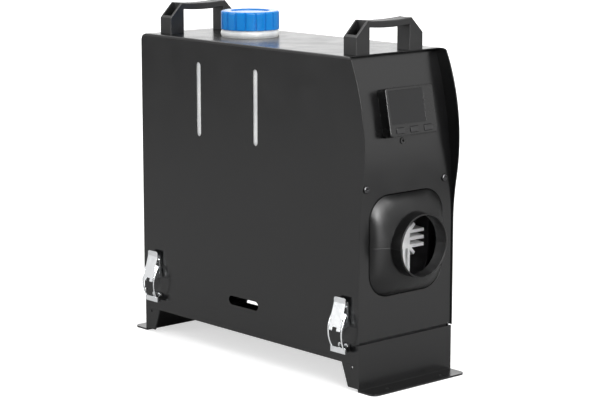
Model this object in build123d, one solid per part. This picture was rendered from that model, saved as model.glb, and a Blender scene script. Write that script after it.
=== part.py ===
from build123d import *
import math
import os

# A portable diesel air heater: a black sheet-metal case with its own fuel tank, standing on
# two folded feet.  Millimetres.  The origin is on the floor under the middle of the case,
# +X points out of the warm-air outlet, -Y is the side with the fuel-level slots, +Z is up.

# ---- Case: one folded sheet for top and sides, closed by a front and a rear panel ----
case_length = 398.0         # over the front and rear edges of the sides
case_width = 153.0          # over the outside of the sides
case_bottom = 56.0          # lower edge of the sides, above the floor
case_top = 383.0            # top face
case_sheet = 1.2
case_bend = 3.0             # outside radius between the top and the sides
rear_corner = 9.0           # rounding of the sides' upper rear corners
front_corner = 7.0          # rounding of the sides' upper front corners
top_setback = 15.5          # front end of the top, behind the front edge of the sides
brow_drop = 44.0            # under the top: where the sides' front edge leans back
brow_proud = 0.5            # and how far it stands out there
chin_drop = 151.0           # under the top: middle of the swell of the front edge
chin_proud = 4.5
cheek_drop = 203.0          # under the top: from here down the front edge is straight

# Front panel, set back between the sides; its upper part is bent back in a long curve
front_inset = 1.4           # lower part of the panel, behind the sides' front edge
lean_drop = 188.0           # under the top: start of the curve
lean_radius = 611.0
panel_gap = 1.5             # panel's lower edge above that of the sides
panel_flange = 14.0         # side flanges that the panels are fixed by
rear_inset = 2.0            # rear panel, behind the sides' rear edge
rear_screw_inset = 11.0     # its screws, in from the inside of the sides

# Openings in the side
level_slot_length = 91.0
level_slot_width = 9.0
level_slot_height = 310.0   # middle of the slots above the floor
level_slot_middle = -33.0   # middle between the two slots, along the case
level_slot_pitch = 106.0
low_slot_length = 55.0
low_slot_width = 11.0
low_slot_x = -3.0
low_slot_z = 69.8

# ---- Base ----
tray_bottom = 31.0          # underside of the tray
tray_sheet = 1.5
tray_wall_top = 62.0        # the tray's side walls reach up inside the case
tray_end_top = 54.0
tray_fit = 0.3              # between the tray's walls and the inside of the case
port_x = (-150.0, -78.0)    # service opening in the tray's floor, at the rear
port_width = 35.0
port_edge = 7.5             # from the service opening to the tray's left wall
pipe_port_x = (26.0, 116.0) # opening under the exhaust and air stubs
pipe_port_y = (-30.0, 30.0)
port_corner = 5.0
foot_sheet = 2.0
foot_top = 55.0             # upper edge of the end plates
foot_flange = 25.0          # flange on the floor, out from the end plate
foot_flange_corner = 8.0
foot_hole_radius = 3.5
foot_hole_out = 15.0        # hole, out from the end plate
foot_hole_spread = 86.0     # between the two holes of a foot
foot_web_top = 29.0         # side webs: length under the tray
foot_web_foot = 18.5        # and at their lower edge
foot_web_lift = 3.5         # lower edge of the webs above the floor
foot_eye_radius = 1.8       # relief hole in each web
foot_eye_in = 12.0          # from the end plate's outer face
foot_eye_drop = 3.4         # under the tray
foot_tab_width = 100.0      # tab folded in under the tray
foot_tab_length = 26.0

# ---- Inner frame: two bulkheads carry the shelf under the tank ----
bulkhead_sheet = 2.0
bulkhead_gap = 3.0          # front bulkhead behind the front panel's inner face
bulkhead_hole_gap = 0.6     # round the screws, in the bulkheads
bulkhead_fold = 14.0
bulkhead_side = 1.6         # beside the bulkheads, to the flanges of the panels
shelf_over_hood = 18.75     # underside of the tank shelf above the outlet hood
shelf_sheet = 1.5
screw_drop = 8.6            # panel screws under the shelf
front_screw_inset = 12.3    # front screws, in from the inside of the sides
screw_radius = 2.5
screw_head_radius = 4.6
screw_head_height = 2.4
screw_crown_radius = 2.76   # flat crown of the head
screw_rim = 0.5             # straight edge of the head
screw_socket_radius = 1.7
screw_socket_depth = 1.4

# ---- Handles across the top ----
handle_length = 106.0
handle_thickness = 21.0
handle_height = 38.0
handle_leg = 21.5
handle_grip = 8.0
handle_chamfer = 18.0
handle_sag = 1.6            # the grip dips in the middle
handle_edge = 1.0           # rounding of the handles' edges
handle_y = -7.4             # middle of the handles, across the case
handle_front_x = 165.5
handle_rear_x = -170.0
handle_pocket_wall = 2.6
handle_pocket_floor = 7.0
handle_screw_radius = 2.5
handle_head_radius = 4.4
handle_head_height = 4.5

# ---- Fuel tank with its screw cap ----
tank_rear = -188.5
tank_front = 128.0
tank_side_gap = 0.6         # between the tank and the inside of the case
tank_headroom = 7.3         # between the tank and the top
tank_wall = 3.0
tank_corner = 11.0
neck_x = -78.0
neck_collar_radius = 34.8
neck_collar_proud = 8.6     # collar above the top
neck_gap = 1.0              # between the collar and the hole in the top
neck_thread_radius = 31.5
neck_proud = 25.0           # rim of the neck above the top
neck_bore_radius = 27.5
cap_radius = 36.0
cap_skirt_gap = 0.5         # skirt over the collar
cap_thread_gap = 0.4
cap_height = 22.5
cap_rounding = 2.5
cap_grooves = 18
cap_groove_radius = 1.5
cap_dish_radius = 24.0
cap_dish_depth = 1.2
seal_thickness = 2.0
seal_radius = 30.6
seal_gap = 0.05             # seal over the rim, and the seal's seat in the cap
outlet_spout_x = -176.0
spout_inset = 13.1          # outlet spout, in from the inside of the side
spout_radius = 3.0
spout_length = 9.0

# ---- Controller on the leaning panel ----
controller_width = 76.0
controller_height = 56.0
controller_depth = 13.0
controller_wall = 2.0
controller_corner = 4.0
controller_edge = 1.2
controller_y = 6.5
controller_drop = 68.0      # middle of the controller, under the top
screen_width = 54.0
screen_height = 38.0
screen_left = 4.6           # screen's edge, in from the case's edge
screen_down = 3.6           # screen's upper edge, down from the case's
screen_corner = 1.4
screen_thickness = 1.2
screen_gap = 0.15
screen_recess = 0.1         # its face, behind the case's face
button_width = 12.6
button_height = 6.4
button_corner = 0.9
button_edge = 0.4
button_proud = 0.9
button_gap = 0.3
button_pitch = 22.3
button_up = 6.6             # middle of the buttons above the controller's lower edge
button_flange = 1.2         # the buttons' rim behind the front wall
button_rim_thickness = 1.2
button_rim_gap = 0.05       # rim to the front wall, at rest
button_travel = 0.6
switch_gap = 0.4            # rim to the switches at full travel
switch_width = 6.0
switch_height = 4.0
board_thickness = 1.6
board_inset = 4.0           # circuit board, in from the edge of the back plate
back_fit = 0.1              # between the back plate and the case
grommet_down = 4.5          # grommet under the controller's lower edge
grommet_radius = 2.8
grommet_bore = 1.5
grommet_lip = 1.0
grommet_y = -1.0

# ---- Warm-air outlet ----
axis_height = 165.0         # heater and outlet axis above the floor
cutout_gap = 1.0            # panel's cut-out round the hood
hood_size = 116.5
hood_corner = 29.0
hood_wall = 2.5
hood_skirt_length = 20.0    # straight part of the hood, behind the panel
hood_shoulder = 13.6        # from the panel face out to the collar
collar_radius = 37.5
collar_length = 16.0
collar_wall = 2.2
collar_shoulder = 1.2       # end of the hood's slope, outside the collar
ring_flat = 0.2             # straight left in the rounded square where it meets the collar

# ---- Heater in its two-part plastic casing ----
casing_size = 105.0
casing_corner = 30.0
casing_wall = 2.5
casing_rear = -150.0
casing_front = 183.0
casing_fit = 0.2            # hood over the casing's front end
exchanger_rear = -46.0
exchanger_front = 187.0
exchanger_nose = 150.0      # from here core and fins narrow towards the front
exchanger_flange = 6.0
core_width = 66.0
core_height = 60.0
nose_width = 34.0
nose_height = 20.0
core_corner = 18.0
fin_gap = 3.0               # between the fins and the casing
fin_front_reach = 39.5      # front ends of the fins, out from the axis
fin_thickness = 3.8
side_fin_pitch = 8.7
side_fins = 3
upright_fin_pitch = 7.5
upright_fins = 5
corner_fin_reach = 44.0     # corner fins, out from the axis
corner_fin_front_reach = 29.5
corner_fin_offset = 4.5     # corner fins, beside the diagonal
chamber_bore = 27.0         # radius inside the core
chamber_end = 140.0
burner_radius = 23.0
burner_wall = 1.2
burner_length = 95.0
glow_x = -28.0
glow_radius = 5.0
glow_hex_radius = 7.0
glow_hex_length = 9.0
glow_tip_radius = 2.5
glow_gap = 0.3
glow_reach = 8.0            # tip of the plug, inside the burner tube
mount_foot_x = (20.0, 120.0)
mount_foot_width = 56.0
window_gap = 1.0            # casing and gasket openings round the mounting foot
gasket_thickness = 2.0
gasket_margin = 4.0
air_stub_x = 45.0
exhaust_stub_x = 92.0
air_stub_radius = 12.5
exhaust_stub_radius = 12.0
stub_wall = 2.0
stub_length = 40.0
stub_shoulder = 1.0         # thicker root of the stubs, through gasket and cradle
stub_shoulder_below = 1.5   # and how far it shows under the cradle's plate
cradle_sheet = 2.0
cradle_x = (12.0, 128.0)
cradle_width = 104.0
cradle_foot_gap = 7.5       # cradle's feet to the tray's walls
cradle_window_gap = 2.0
stud_radius = 3.0
stud_inset = 7.0            # studs, in from the corners of the mounting foot
stud_depth = 12.0
nut_radius = 5.8
nut_height = 5.0
stud_gap = 0.4

# Blower
blower_rear = -76.0
blower_radius = 42.0
blower_cavity_radius = 36.0
blower_wall = 4.0
impeller_radius = 33.0
impeller_disc = 2.0
impeller_height = 12.0
impeller_vanes = 12
impeller_hub_radius = 7.5
vane_thickness = 1.6
impeller_gap = 2.5
motor_length = 56.0
motor_radius = 29.0
motor_wall = 5.0
motor_cavity_radius = 21.0
armature_radius = 17.0
armature_gap = 4.0
motor_edge = 3.0
shaft_radius = 3.0
shaft_fit = 0.04            # running fit in the bushes and through walls
bush_radius = 6.0
fan_radius = 44.0
fan_hub_radius = 14.0
fan_hub_length = 18.0
fan_nose = 4.0              # rounding of the hub's rear edge
fan_root = 1.5              # blade roots, inside the hub
fan_gap = 10.0              # hub behind the motor
fan_blades = 9
fan_blade_thickness = 1.8
fan_root_pitch = 50.0
fan_tip_pitch = 32.0
fan_chord = 19.0
cowl_radius = 50.0
cowl_wall = 2.5
cowl_neck = 24.0            # round part of the cowl, to the rear panel
cowl_base = 3.0
grille_rings = 3
grille_spokes = 6
grille_bar = 2.4
grille_depth = 3.0
grille_hub_radius = 9.0
cowl_clearance = 0.6
unit_length = 58.0
unit_width = 44.0
unit_height = 13.0
unit_x = -106.0
unit_corner = 4.0

# ---- Fuel line ----
pump_radius = 12.5
pump_rear = -146.0
pump_length = 66.0
pump_end_length = 11.0
pump_end_radius = 7.0
pump_edge = 1.2
pump_z = 55.0
pump_wall_gap = 0.5         # clamp to the tray's wall
barb_radius = 2.4
barb_length = 7.0
clamp_wall = 0.9
clamp_length = 18.0
clamp_fit = 0.1
filter_radius = 9.0
filter_bottom = 84.0
filter_length = 44.0
filter_cone = 6.0
filter_neck_radius = 5.4
hose_radius = 4.0
hose_bore = 2.5
hose_bend = 10.0
hose_grip = 6.0             # feed hose over the spout
hose_hole_gap = 1.0         # shelf's hole round the hose
hose_casing_gap = 4.0       # heater hose under the casing
nozzle_x = -61.0
nozzle_y = -24.0
nozzle_radius = 2.4
nozzle_length = 22.0        # below the underside of the casing
nozzle_hole = 4.0

# Power-cable gland in the rear panel
gland_inset = 29.3          # in from the inside of the side
gland_z = 84.0
gland_radius = 8.0
gland_nut_radius = 6.0
gland_inside = 5.0          # thread behind the panel
gland_bore = 3.2
gland_length = 9.0
gland_thread = 6.0

# ---- Draw latches: lever above, wire bail with a claw down to a keeper on the tray ----
latch_x = 174.0
latch_width = 19.0
latch_sheet = 1.2
latch_pivot_out = 8.0       # lever pivot: out from the side
latch_pivot_z = 77.0
latch_pin_radius = 1.5
latch_pin_head = 1.0
latch_pin_head_radius = 2.2
latch_base_top = 103.0
base_rivet_drop = 6.0       # rivets under the base's upper edge
base_rivet_spread = 8.0
latch_ear_radius = 3.0
latch_ear_gap = 0.4         # between the base's ears and the lever's cheeks
latch_fit = 0.05
lever_foot_out = 14.5       # lower end of the lever
lever_foot_z = 71.0
lever_neck_out = 5.7        # where the lever's tip turns upright
lever_neck_z = 102.0
lever_tip_out = 5.9
lever_tip_z = 108.5
lever_corner = 3.0          # rounding of the tip's corners
lever_notch_width = 7.0
lever_notch_height = 4.0
cheek_behind_bail = 2.9     # rear edge of the lever's cheeks, behind the bail pivot
cheek_beside_bail = 4.0     # and how far it runs up and down from there
cheek_behind_pin = 3.4      # the same at the lever's pin
cheek_under_pin = 2.0
cheek_toe = 0.5             # cheeks above the lever's lower end
bail_out = 6.2              # bail pivot in the lever, past centre
bail_z = 89.6
bail_bow = 13.2             # the wires bow outwards
bail_bow_z = 70.0
bail_spread = 22.0          # between the two wires
bail_end_spread = 18.6      # and where they enter the claw
bail_radius = 0.9
claw_out = 7.6              # middle of the claw plate
claw_sheet = 2.0
claw_width = 24.5
claw_top = 50.5
claw_bottom = 44.1
claw_shelf = 1.2            # thickness of the edge that reaches under the keeper
claw_shelf_in = 2.0         # its end, out from the side
keeper_width = 20.0
keeper_top = 54.6
keeper_lip_out = 5.6        # end of the keeper's lip, out from the side
keeper_gap = 0.6            # lip over the claw's edge
keeper_rivet_drop = 3.1     # rivets under the keeper's upper edge
keeper_rivet_spread = 10.0
rivet_radius = 1.6
rivet_head_radius = 2.8
rivet_head_height = 1.0

# ---- Places that follow from the sizes above ----
front = case_length / 2
inner_half = case_width / 2 - case_sheet
tray_half = inner_half - tray_fit
tray_floor = tray_bottom + tray_sheet
tray_end = front - foot_sheet
panel_face = front - front_inset
panel_bottom = case_bottom + panel_gap
lean_z = case_top - lean_drop
under_top = case_top - case_sheet
rear_face = -front + rear_inset
shelf_height = axis_height + hood_size / 2 + shelf_over_hood
shelf_top = shelf_height + shelf_sheet
screw_height = shelf_height - screw_drop
tank_half = inner_half - tank_side_gap
tank_top = under_top - tank_headroom
neck_collar_top = case_top + neck_collar_proud
neck_top = case_top + neck_proud
outlet_spout_y = spout_inset - inner_half
gland_y = inner_half - gland_inset
neck_hole_radius = neck_collar_radius + neck_gap
cap_bottom = neck_collar_top + cap_skirt_gap
casing_half = casing_size / 2
casing_bottom = axis_height - casing_half
core_end_corner = min(core_corner, nose_height / 2 - 1)
fin_reach = casing_half - casing_wall - fin_gap
gasket_bottom = casing_bottom - gasket_thickness
cradle_top = gasket_bottom - cradle_sheet
bulkhead_half = inner_half - case_sheet - bulkhead_side
bulkhead_face = panel_face - case_sheet - bulkhead_gap
rear_bulkhead_face = tray_sheet - tray_end
shaft_rear = blower_rear - motor_length - fan_gap - fan_hub_length
hood_base = panel_face - hood_skirt_length
tray_step = case_width / 2 - tray_half          # from the side in to the tray
panel_tab_bottom = tray_wall_top + 0.5
tray_inside = tray_half - tray_sheet
pump_y = pump_radius + clamp_fit + clamp_wall + pump_wall_gap - tray_inside
port_y = (tray_inside - port_edge - port_width, tray_inside - port_edge)
claw_inner = claw_out - claw_sheet / 2
claw_outer = claw_out + claw_sheet / 2
keeper_low = claw_bottom + claw_shelf + keeper_gap


# ---- Helpers ----
def block(x, y, z):
    """Box between three pairs of limits."""
    sizes = [high - low for low, high in (x, y, z)]
    middle = [(high + low) / 2 for low, high in (x, y, z)]
    return Pos(*middle) * Box(*sizes)


def rod(start, direction, radius, length):
    """Round bar from `start` along `direction`."""
    return extrude(Plane(origin=start, z_dir=direction) * Circle(radius), length)


def tube(start, direction, radius, bore, length):
    return rod(start, direction, radius, length) - rod(start, direction, bore, length)


def section(x, y=0.0, z=axis_height):
    """Plane across the case at x: its own x is Y, its own y is Z."""
    return Plane(origin=(x, y, z), x_dir=(0, 1, 0), z_dir=(1, 0, 0))


def rounded_bar(x, width, height, corner, z=axis_height):
    """Bar along X with a rounded-rectangle section, between two x values."""
    outline = section(x[0], z=z) * RectangleRounded(width, height, corner)
    return extrude(outline, x[1] - x[0])


def save(shape, name):
    export_step(shape, "parts/" + name + ".step")


# ---- Case ----
def side_outline():
    """Outline of a side in the X-Z plane, with its swelling front edge."""
    foot = (front, case_bottom)
    cheek = (front, case_top - cheek_drop)
    chin = (front + chin_proud, case_top - chin_drop)
    brow = (front + brow_proud, case_top - brow_drop)
    peak = (front - top_setback, case_top)
    cheek_arc = TangentArc(cheek, chin, tangent=(0, 1))
    nose_arc = TangentArc(chin, brow, tangent=cheek_arc % 1)
    brow_arc = TangentArc(brow, peak, tangent=nose_arc % 1)
    back = Polyline(peak, (-front, case_top), (-front, case_bottom), foot)
    face = make_face(Line(foot, cheek) + cheek_arc + nose_arc + brow_arc + back)
    for end, radius in ((0, rear_corner), (-1, front_corner)):
        corner = face.vertices().group_by(Axis.Y)[-1].sort_by(Axis.X)[end]
        face = fillet(corner, radius)
    return Plane.XZ * face


def upper_shell():
    outside = rounded_bar((-front, front + top_setback), case_width, 2 * case_top, case_bend, z=0)
    shell = (outside - inside_case()) & extrude(side_outline(), case_width, both=True)
    top_end = front - top_setback - front_corner
    flat_half = case_width / 2 - case_bend
    shell -= block((top_end, front), (-flat_half, flat_half), (under_top - 1, case_top + 1))
    for x in level_slots():
        shell -= side_slot(x, level_slot_height, level_slot_length, level_slot_width, 90)
    shell -= side_slot(low_slot_x, low_slot_z, low_slot_length, low_slot_width, 0)
    shell -= rod((neck_x, 0, under_top - 1), (0, 0, 1), neck_hole_radius, case_sheet + 2)
    for x, y in handle_screw_places():
        shell -= rod((x, y, under_top - 1), (0, 0, 1), handle_screw_radius, case_sheet + 2)
    shell -= [corner * cutter for corner in latch_corners() for cutter in latch_base_rivets()]
    return shell


def inside_case():
    """All the space between the sides and under the top."""
    return rounded_bar((-front, front + top_setback), 2 * inner_half, 2 * under_top,
                       case_bend - case_sheet, z=0)


def level_slots():
    return [level_slot_middle + side * level_slot_pitch / 2 for side in (-1, 1)]


def side_slot(x, z, length, width, angle):
    """Cutter for a round-ended slot through the side with the fuel-level slots."""
    start = Plane(origin=(x, 1 - inner_half, z), x_dir=(1, 0, 0), z_dir=(0, -1, 0))
    return extrude(start * Rot(0, 0, angle) * SlotOverall(length, width), case_sheet + 2)


def panel_x(z, depth=0.0):
    """X of the front panel at height z, `depth` under its outside."""
    if z <= lean_z:
        return panel_face - depth
    radius = lean_radius - depth
    return panel_face - lean_radius + math.sqrt(radius**2 - (z - lean_z)**2)


def panel_plane(y, z):
    """Plane on the outside of the front panel: its own z points straight out of it."""
    lean = math.asin(max(z - lean_z, 0) / lean_radius)
    normal = (math.cos(lean), 0, math.sin(lean))
    return Plane(origin=(panel_x(z), y, z), x_dir=(0, 1, 0), z_dir=normal)


def behind_panel(depth, half_width):
    """Everything behind the front panel's skin, `depth` under its outside."""
    low = (panel_face - depth, panel_bottom)
    knee = (panel_face - depth, lean_z)
    crown = (panel_x(under_top, depth), under_top)
    back = Polyline(crown, (0, under_top), (0, panel_bottom), low)
    outline = Line(low, knee) + TangentArc(knee, crown, tangent=(0, 1)) + back
    return extrude(Plane.XZ * make_face(outline), half_width, both=True)


def front_panel():
    panel = behind_panel(0, inner_half) - behind_panel(panel_flange, inner_half + 1)
    panel -= behind_panel(case_sheet, inner_half - case_sheet)
    cutout = (panel_face - 2 * case_sheet, front + panel_flange)
    size = hood_size + 2 * cutout_gap
    panel -= rounded_bar(cutout, size, size, hood_corner + cutout_gap)
    for place in front_screw_planes():
        panel -= extrude(place * Circle(screw_radius), 2 * case_sheet, both=True)
    panel -= extrude(grommet_plane() * Circle(grommet_radius), 2 * case_sheet, both=True)
    tabs = (panel_face - 2 * panel_flange, panel_face - case_sheet)
    panel -= block(tabs, (-case_width, case_width), (0, panel_tab_bottom))
    return panel & inside_case()


def rear_panel():
    low, high = panel_bottom, under_top
    skin = (rear_face, rear_face + case_sheet)
    panel = block((rear_face, rear_face + panel_flange), (-inner_half, inner_half), (low, high))
    hollow = inner_half - case_sheet
    panel -= block((skin[1], rear_face + 2 * panel_flange), (-hollow, hollow), (low - 1, high + 1))
    intake = (rear_face - 1, 0, axis_height)
    panel -= rod(intake, (1, 0, 0), cowl_radius + cowl_clearance, case_sheet + 2)
    for y, z in rear_screw_places():
        panel -= rod((rear_face - 1, y, z), (1, 0, 0), screw_radius, case_sheet + 2)
    panel -= rod((rear_face - 1, gland_y, gland_z), (1, 0, 0), gland_thread, case_sheet + 2)
    tabs = (rear_face + case_sheet, rear_face + 2 * panel_flange)
    panel -= block(tabs, (-case_width, case_width), (0, panel_tab_bottom))
    return panel & inside_case() & extrude(side_outline(), case_width, both=True)


def front_screw_planes():
    """Seats of the front panel's screws."""
    spread = inner_half - front_screw_inset
    return [panel_plane(side * spread, screw_height) for side in (-1, 1)]


def rear_screw_places():
    spread = inner_half - case_sheet - rear_screw_inset
    return [(side * spread, screw_height) for side in (-1, 1)]


# ---- Base ----
def base_tray():
    low, high = tray_bottom, tray_wall_top
    tray = block((-tray_end, tray_end), (-tray_half, tray_half), (low, high))
    tray -= block((tray_sheet - tray_end, tray_end - tray_sheet), (-tray_inside, tray_inside),
                  (tray_floor, high + 1))
    for side in (-1, 1):
        end = sorted((side * (tray_end - tray_sheet - 1), side * (tray_end + 1)))
        tray -= block(end, (-tray_half - 1, tray_half + 1), (tray_end_top, high + 1))
    for x, y in ((port_x, port_y), (pipe_port_x, pipe_port_y)):
        tray -= floor_port(x, y)
    tray -= [corner * cutter for corner in latch_corners() for cutter in keeper_rivets()]
    return tray


def floor_port(x, y):
    middle = Pos((x[0] + x[1]) / 2, (y[0] + y[1]) / 2, tray_bottom - 1)
    return extrude(middle * RectangleRounded(x[1] - x[0], y[1] - y[0], port_corner),
                   tray_sheet + 2)


def front_foot():
    """End plate folded out on the floor, with a web at each side and a tab under the tray."""
    plate_in = front - foot_sheet
    half = tray_half
    foot = block((plate_in, front), (-half, half), (0, foot_top))
    foot += foot_floor_flange()
    foot += block((front - foot_tab_length, front), (-foot_tab_width / 2, foot_tab_width / 2),
                  (tray_bottom - foot_sheet, tray_bottom))
    web = Polyline((plate_in, foot_web_lift), (front - foot_web_foot, foot_web_lift),
                   (front - foot_web_top, tray_bottom), (plate_in, tray_bottom), close=True)
    for side in (-1, 1):
        start = Plane.XZ.offset(-side * (half - foot_sheet / 2))
        foot += extrude(start * make_face(web), foot_sheet / 2, both=True)
    eye = (front - foot_eye_in, half + 1, tray_bottom - foot_eye_drop)
    foot -= rod(eye, (0, -1, 0), foot_eye_radius, 2 * half + 2)
    return foot


def foot_floor_flange():
    outline = Pos(front, 0) * Rectangle(2 * foot_flange, 2 * tray_half)
    outline = fillet(outline.vertices(), foot_flange_corner)
    outline -= Pos(front - foot_flange, 0) * Rectangle(2 * foot_flange, 2 * tray_half)
    for y in (-foot_hole_spread / 2, foot_hole_spread / 2):
        outline -= Pos(front + foot_hole_out, y) * Circle(foot_hole_radius)
    return extrude(outline, foot_sheet)


def rear_foot():
    return Rot(0, 0, 180) * front_foot()


# ---- Inner frame ----
def bulkhead(face, inward, opening):
    """Upright plate with a fold on the tray and a fold under the tank shelf."""
    back = face + inward * bulkhead_sheet
    fold = face + inward * bulkhead_fold
    half = bulkhead_half
    plate = block(sorted((face, back)), (-half, half), (tray_floor, shelf_height))
    for low in (tray_floor, shelf_height - bulkhead_sheet):
        plate += block(sorted((face, fold)), (-half, half), (low, low + bulkhead_sheet))
    return plate - opening


def front_bulkhead():
    reach = (hood_base - 1, front)
    size = hood_size + 2 * window_gap
    opening = rounded_bar(reach, size, size, hood_corner + window_gap)
    plate = bulkhead(bulkhead_face, -1, opening)
    for place in front_screw_planes():
        start = (bulkhead_face + 1, place.origin.Y, screw_height)
        plate -= rod(start, (-1, 0, 0), screw_radius + bulkhead_hole_gap, bulkhead_sheet + 2)
    return plate


def rear_bulkhead():
    start = (rear_bulkhead_face - 1, 0, axis_height)
    opening = rod(start, (1, 0, 0), cowl_radius + cowl_clearance, bulkhead_fold + 2)
    plate = bulkhead(rear_bulkhead_face, 1, opening)
    for y, z in rear_screw_places():
        start = (rear_bulkhead_face - 1, y, z)
        plate -= rod(start, (1, 0, 0), screw_radius, bulkhead_sheet + 2)
    start = (rear_bulkhead_face - 1, gland_y, gland_z)
    plate -= rod(start, (1, 0, 0), gland_radius + window_gap, bulkhead_sheet + 2)
    plate -= spout_hole()
    return plate


def spout_hole():
    start = (outlet_spout_x, outlet_spout_y, shelf_height - 2 * bulkhead_sheet)
    return rod(start, (0, 0, 1), hose_radius + hose_hole_gap, 3 * bulkhead_sheet + shelf_sheet)


def tank_shelf():
    reach = (rear_bulkhead_face, bulkhead_face)
    shelf = block(reach, (-bulkhead_half, bulkhead_half), (shelf_height, shelf_top))
    return shelf - spout_hole()


def panel_screws():
    """Button-head screws with a socket: two in the front panel and two in the rear."""
    screws = []
    for place in front_screw_planes():
        shank = panel_x(screw_height) - bulkhead_face + bulkhead_sheet
        screws.append(place.location * button_screw(shank))
    for y, z in rear_screw_places():
        seat = Plane(origin=(rear_face, y, z), x_dir=(0, 1, 0), z_dir=(-1, 0, 0))
        shank = rear_bulkhead_face - rear_face + bulkhead_sheet
        screws.append(seat.location * button_screw(shank))
    return Compound(children=screws)


def button_screw(shank):
    """Screw standing on its seat, with a domed head and a hexagon socket."""
    crown = (screw_crown_radius, screw_head_height)
    rim = (screw_head_radius, screw_rim)
    dome = Polyline(crown, (0, screw_head_height), (0, 0), (screw_head_radius, 0), rim)
    dome += TangentArc(rim, crown, tangent=(0, 1))
    head = revolve(Plane.XZ * make_face(dome), Axis.Z)
    socket = Pos(0, 0, screw_head_height) * RegularPolygon(screw_socket_radius, 6)
    head -= extrude(socket, -screw_socket_depth)
    return head + rod((0, 0, 0), (0, 0, -1), screw_radius, shank)


# ---- Handles ----
def handle_screw_places():
    out = handle_length / 2 - handle_leg / 2
    return [(x, handle_y + side * out) for x in (handle_front_x, handle_rear_x)
            for side in (-1, 1)]


def handle(x):
    """Moulded bridge handle with cut-off ends and a screw pocket down each leg."""
    half = handle_length / 2
    low = case_top
    high = case_top + handle_height
    leg = half - handle_leg
    grip = high - handle_grip
    shoulder = high - handle_chamfer
    top = ThreePointArc((handle_chamfer - half, high), (0, high - handle_sag),
                        (half - handle_chamfer, high))
    under = ThreePointArc((-leg, grip), (0, grip - handle_sag), (leg, grip))
    outline = top + under
    outline += Polyline((half - handle_chamfer, high), (half, shoulder), (half, low),
                        (leg, low), (leg, grip))
    outline += Polyline((-leg, grip), (-leg, low), (-half, low), (-half, shoulder),
                        (handle_chamfer - half, high))
    across = Plane(origin=(x, handle_y, 0), x_dir=(0, 1, 0), z_dir=(1, 0, 0))
    body = extrude(across * make_face(outline), handle_thickness / 2, both=True)
    rims = [edge for side in body.faces().filter_by(Axis.X) for edge in side.edges()]
    body = fillet([rim for rim in rims if rim.center().Z > low + handle_edge], handle_edge)
    inside = handle_thickness / 2 - handle_pocket_wall
    for side in (-1, 1):
        pocket = sorted((side * (leg + handle_pocket_wall), side * (half - handle_pocket_wall)))
        pocket = [handle_y + y for y in pocket]
        body -= block((x - inside, x + inside), pocket, (low + handle_pocket_floor, high + 1))
        middle = handle_y + side * (half - handle_leg / 2)
        body -= rod((x, middle, low - 1), (0, 0, 1), handle_screw_radius, handle_height)
    return body


def handle_screws():
    screws = []
    for x, y in handle_screw_places():
        seat = case_top + handle_pocket_floor
        shank = seat - under_top
        screw = rod((x, y, seat), (0, 0, -1), handle_screw_radius, shank)
        screw += rod((x, y, seat), (0, 0, 1), handle_head_radius, handle_head_height)
        screws.append(screw)
    return Compound(children=screws)


# ---- Tank and cap ----
def fuel_tank():
    tank = block((tank_rear, tank_front), (-tank_half, tank_half), (shelf_top, tank_top))
    tank = fillet(tank.edges(), tank_corner)
    neck = (neck_x, 0, tank_top - tank_wall)
    tank += rod(neck, (0, 0, 1), neck_collar_radius, neck_collar_top - tank_top + tank_wall)
    tank += rod(neck, (0, 0, 1), neck_thread_radius, neck_top - tank_top + tank_wall)
    spout = (outlet_spout_x, outlet_spout_y, shelf_top + tank_wall)
    tank += rod(spout, (0, 0, -1), spout_radius, spout_length + tank_wall)
    half = tank_half - tank_wall
    hollow = block((tank_rear + tank_wall, tank_front - tank_wall), (-half, half),
                   (shelf_top + tank_wall, tank_top - tank_wall))
    tank -= fillet(hollow.edges(), tank_corner - tank_wall)
    tank -= rod(neck, (0, 0, 1), neck_bore_radius, neck_top - tank_top + 2 * tank_wall)
    tank -= rod(spout, (0, 0, -1), spout_radius / 2, spout_length + 2 * tank_wall)
    return tank


def filler_cap():
    """Screw cap: a skirt with wide grip facets, a dished top and a seat for its seal."""
    top = cap_bottom + cap_height
    cap = rod((neck_x, 0, cap_bottom), (0, 0, 1), cap_radius, cap_height)
    cap = fillet(cap.edges().sort_by(Axis.Z)[-1], cap_rounding)
    for step in range(cap_grooves):
        angle = math.radians(360 / cap_grooves * (step + 0.5))
        x = neck_x + cap_radius * math.cos(angle)
        y = cap_radius * math.sin(angle)
        cap -= rod((x, y, cap_bottom - 1), (0, 0, 1), cap_groove_radius, cap_height + 2)
    cap -= rod((neck_x, 0, top - cap_dish_depth), (0, 0, 1), cap_dish_radius, cap_dish_depth)
    inside = neck_thread_radius + cap_thread_gap
    seal_top = neck_top + seal_thickness + 2 * seal_gap
    cap -= rod((neck_x, 0, cap_bottom), (0, 0, 1), inside, seal_top - cap_bottom)
    return cap


def cap_seal():
    start = (neck_x, 0, neck_top + seal_gap)
    return rod(start, (0, 0, 1), seal_radius, seal_thickness)


# ---- Controller ----
def controller_plane():
    return panel_plane(controller_y, case_top - controller_drop)


def grommet_plane():
    z = case_top - controller_drop - controller_height / 2 - grommet_down
    return panel_plane(grommet_y, z)


def screen_place():
    x = -controller_width / 2 + screen_left + screen_width / 2
    y = controller_height / 2 - screen_down - screen_height / 2
    return x, y


def button_places():
    y = -controller_height / 2 + button_up
    return [(step * button_pitch, y) for step in (-1, 0, 1)]


def slab(place, width, height, corner, low, high):
    """Rounded plate on the controller, between two distances from the panel."""
    outline = Pos(place[0], place[1], low) * RectangleRounded(width, height, corner)
    return extrude(outline, high - low)


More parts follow.
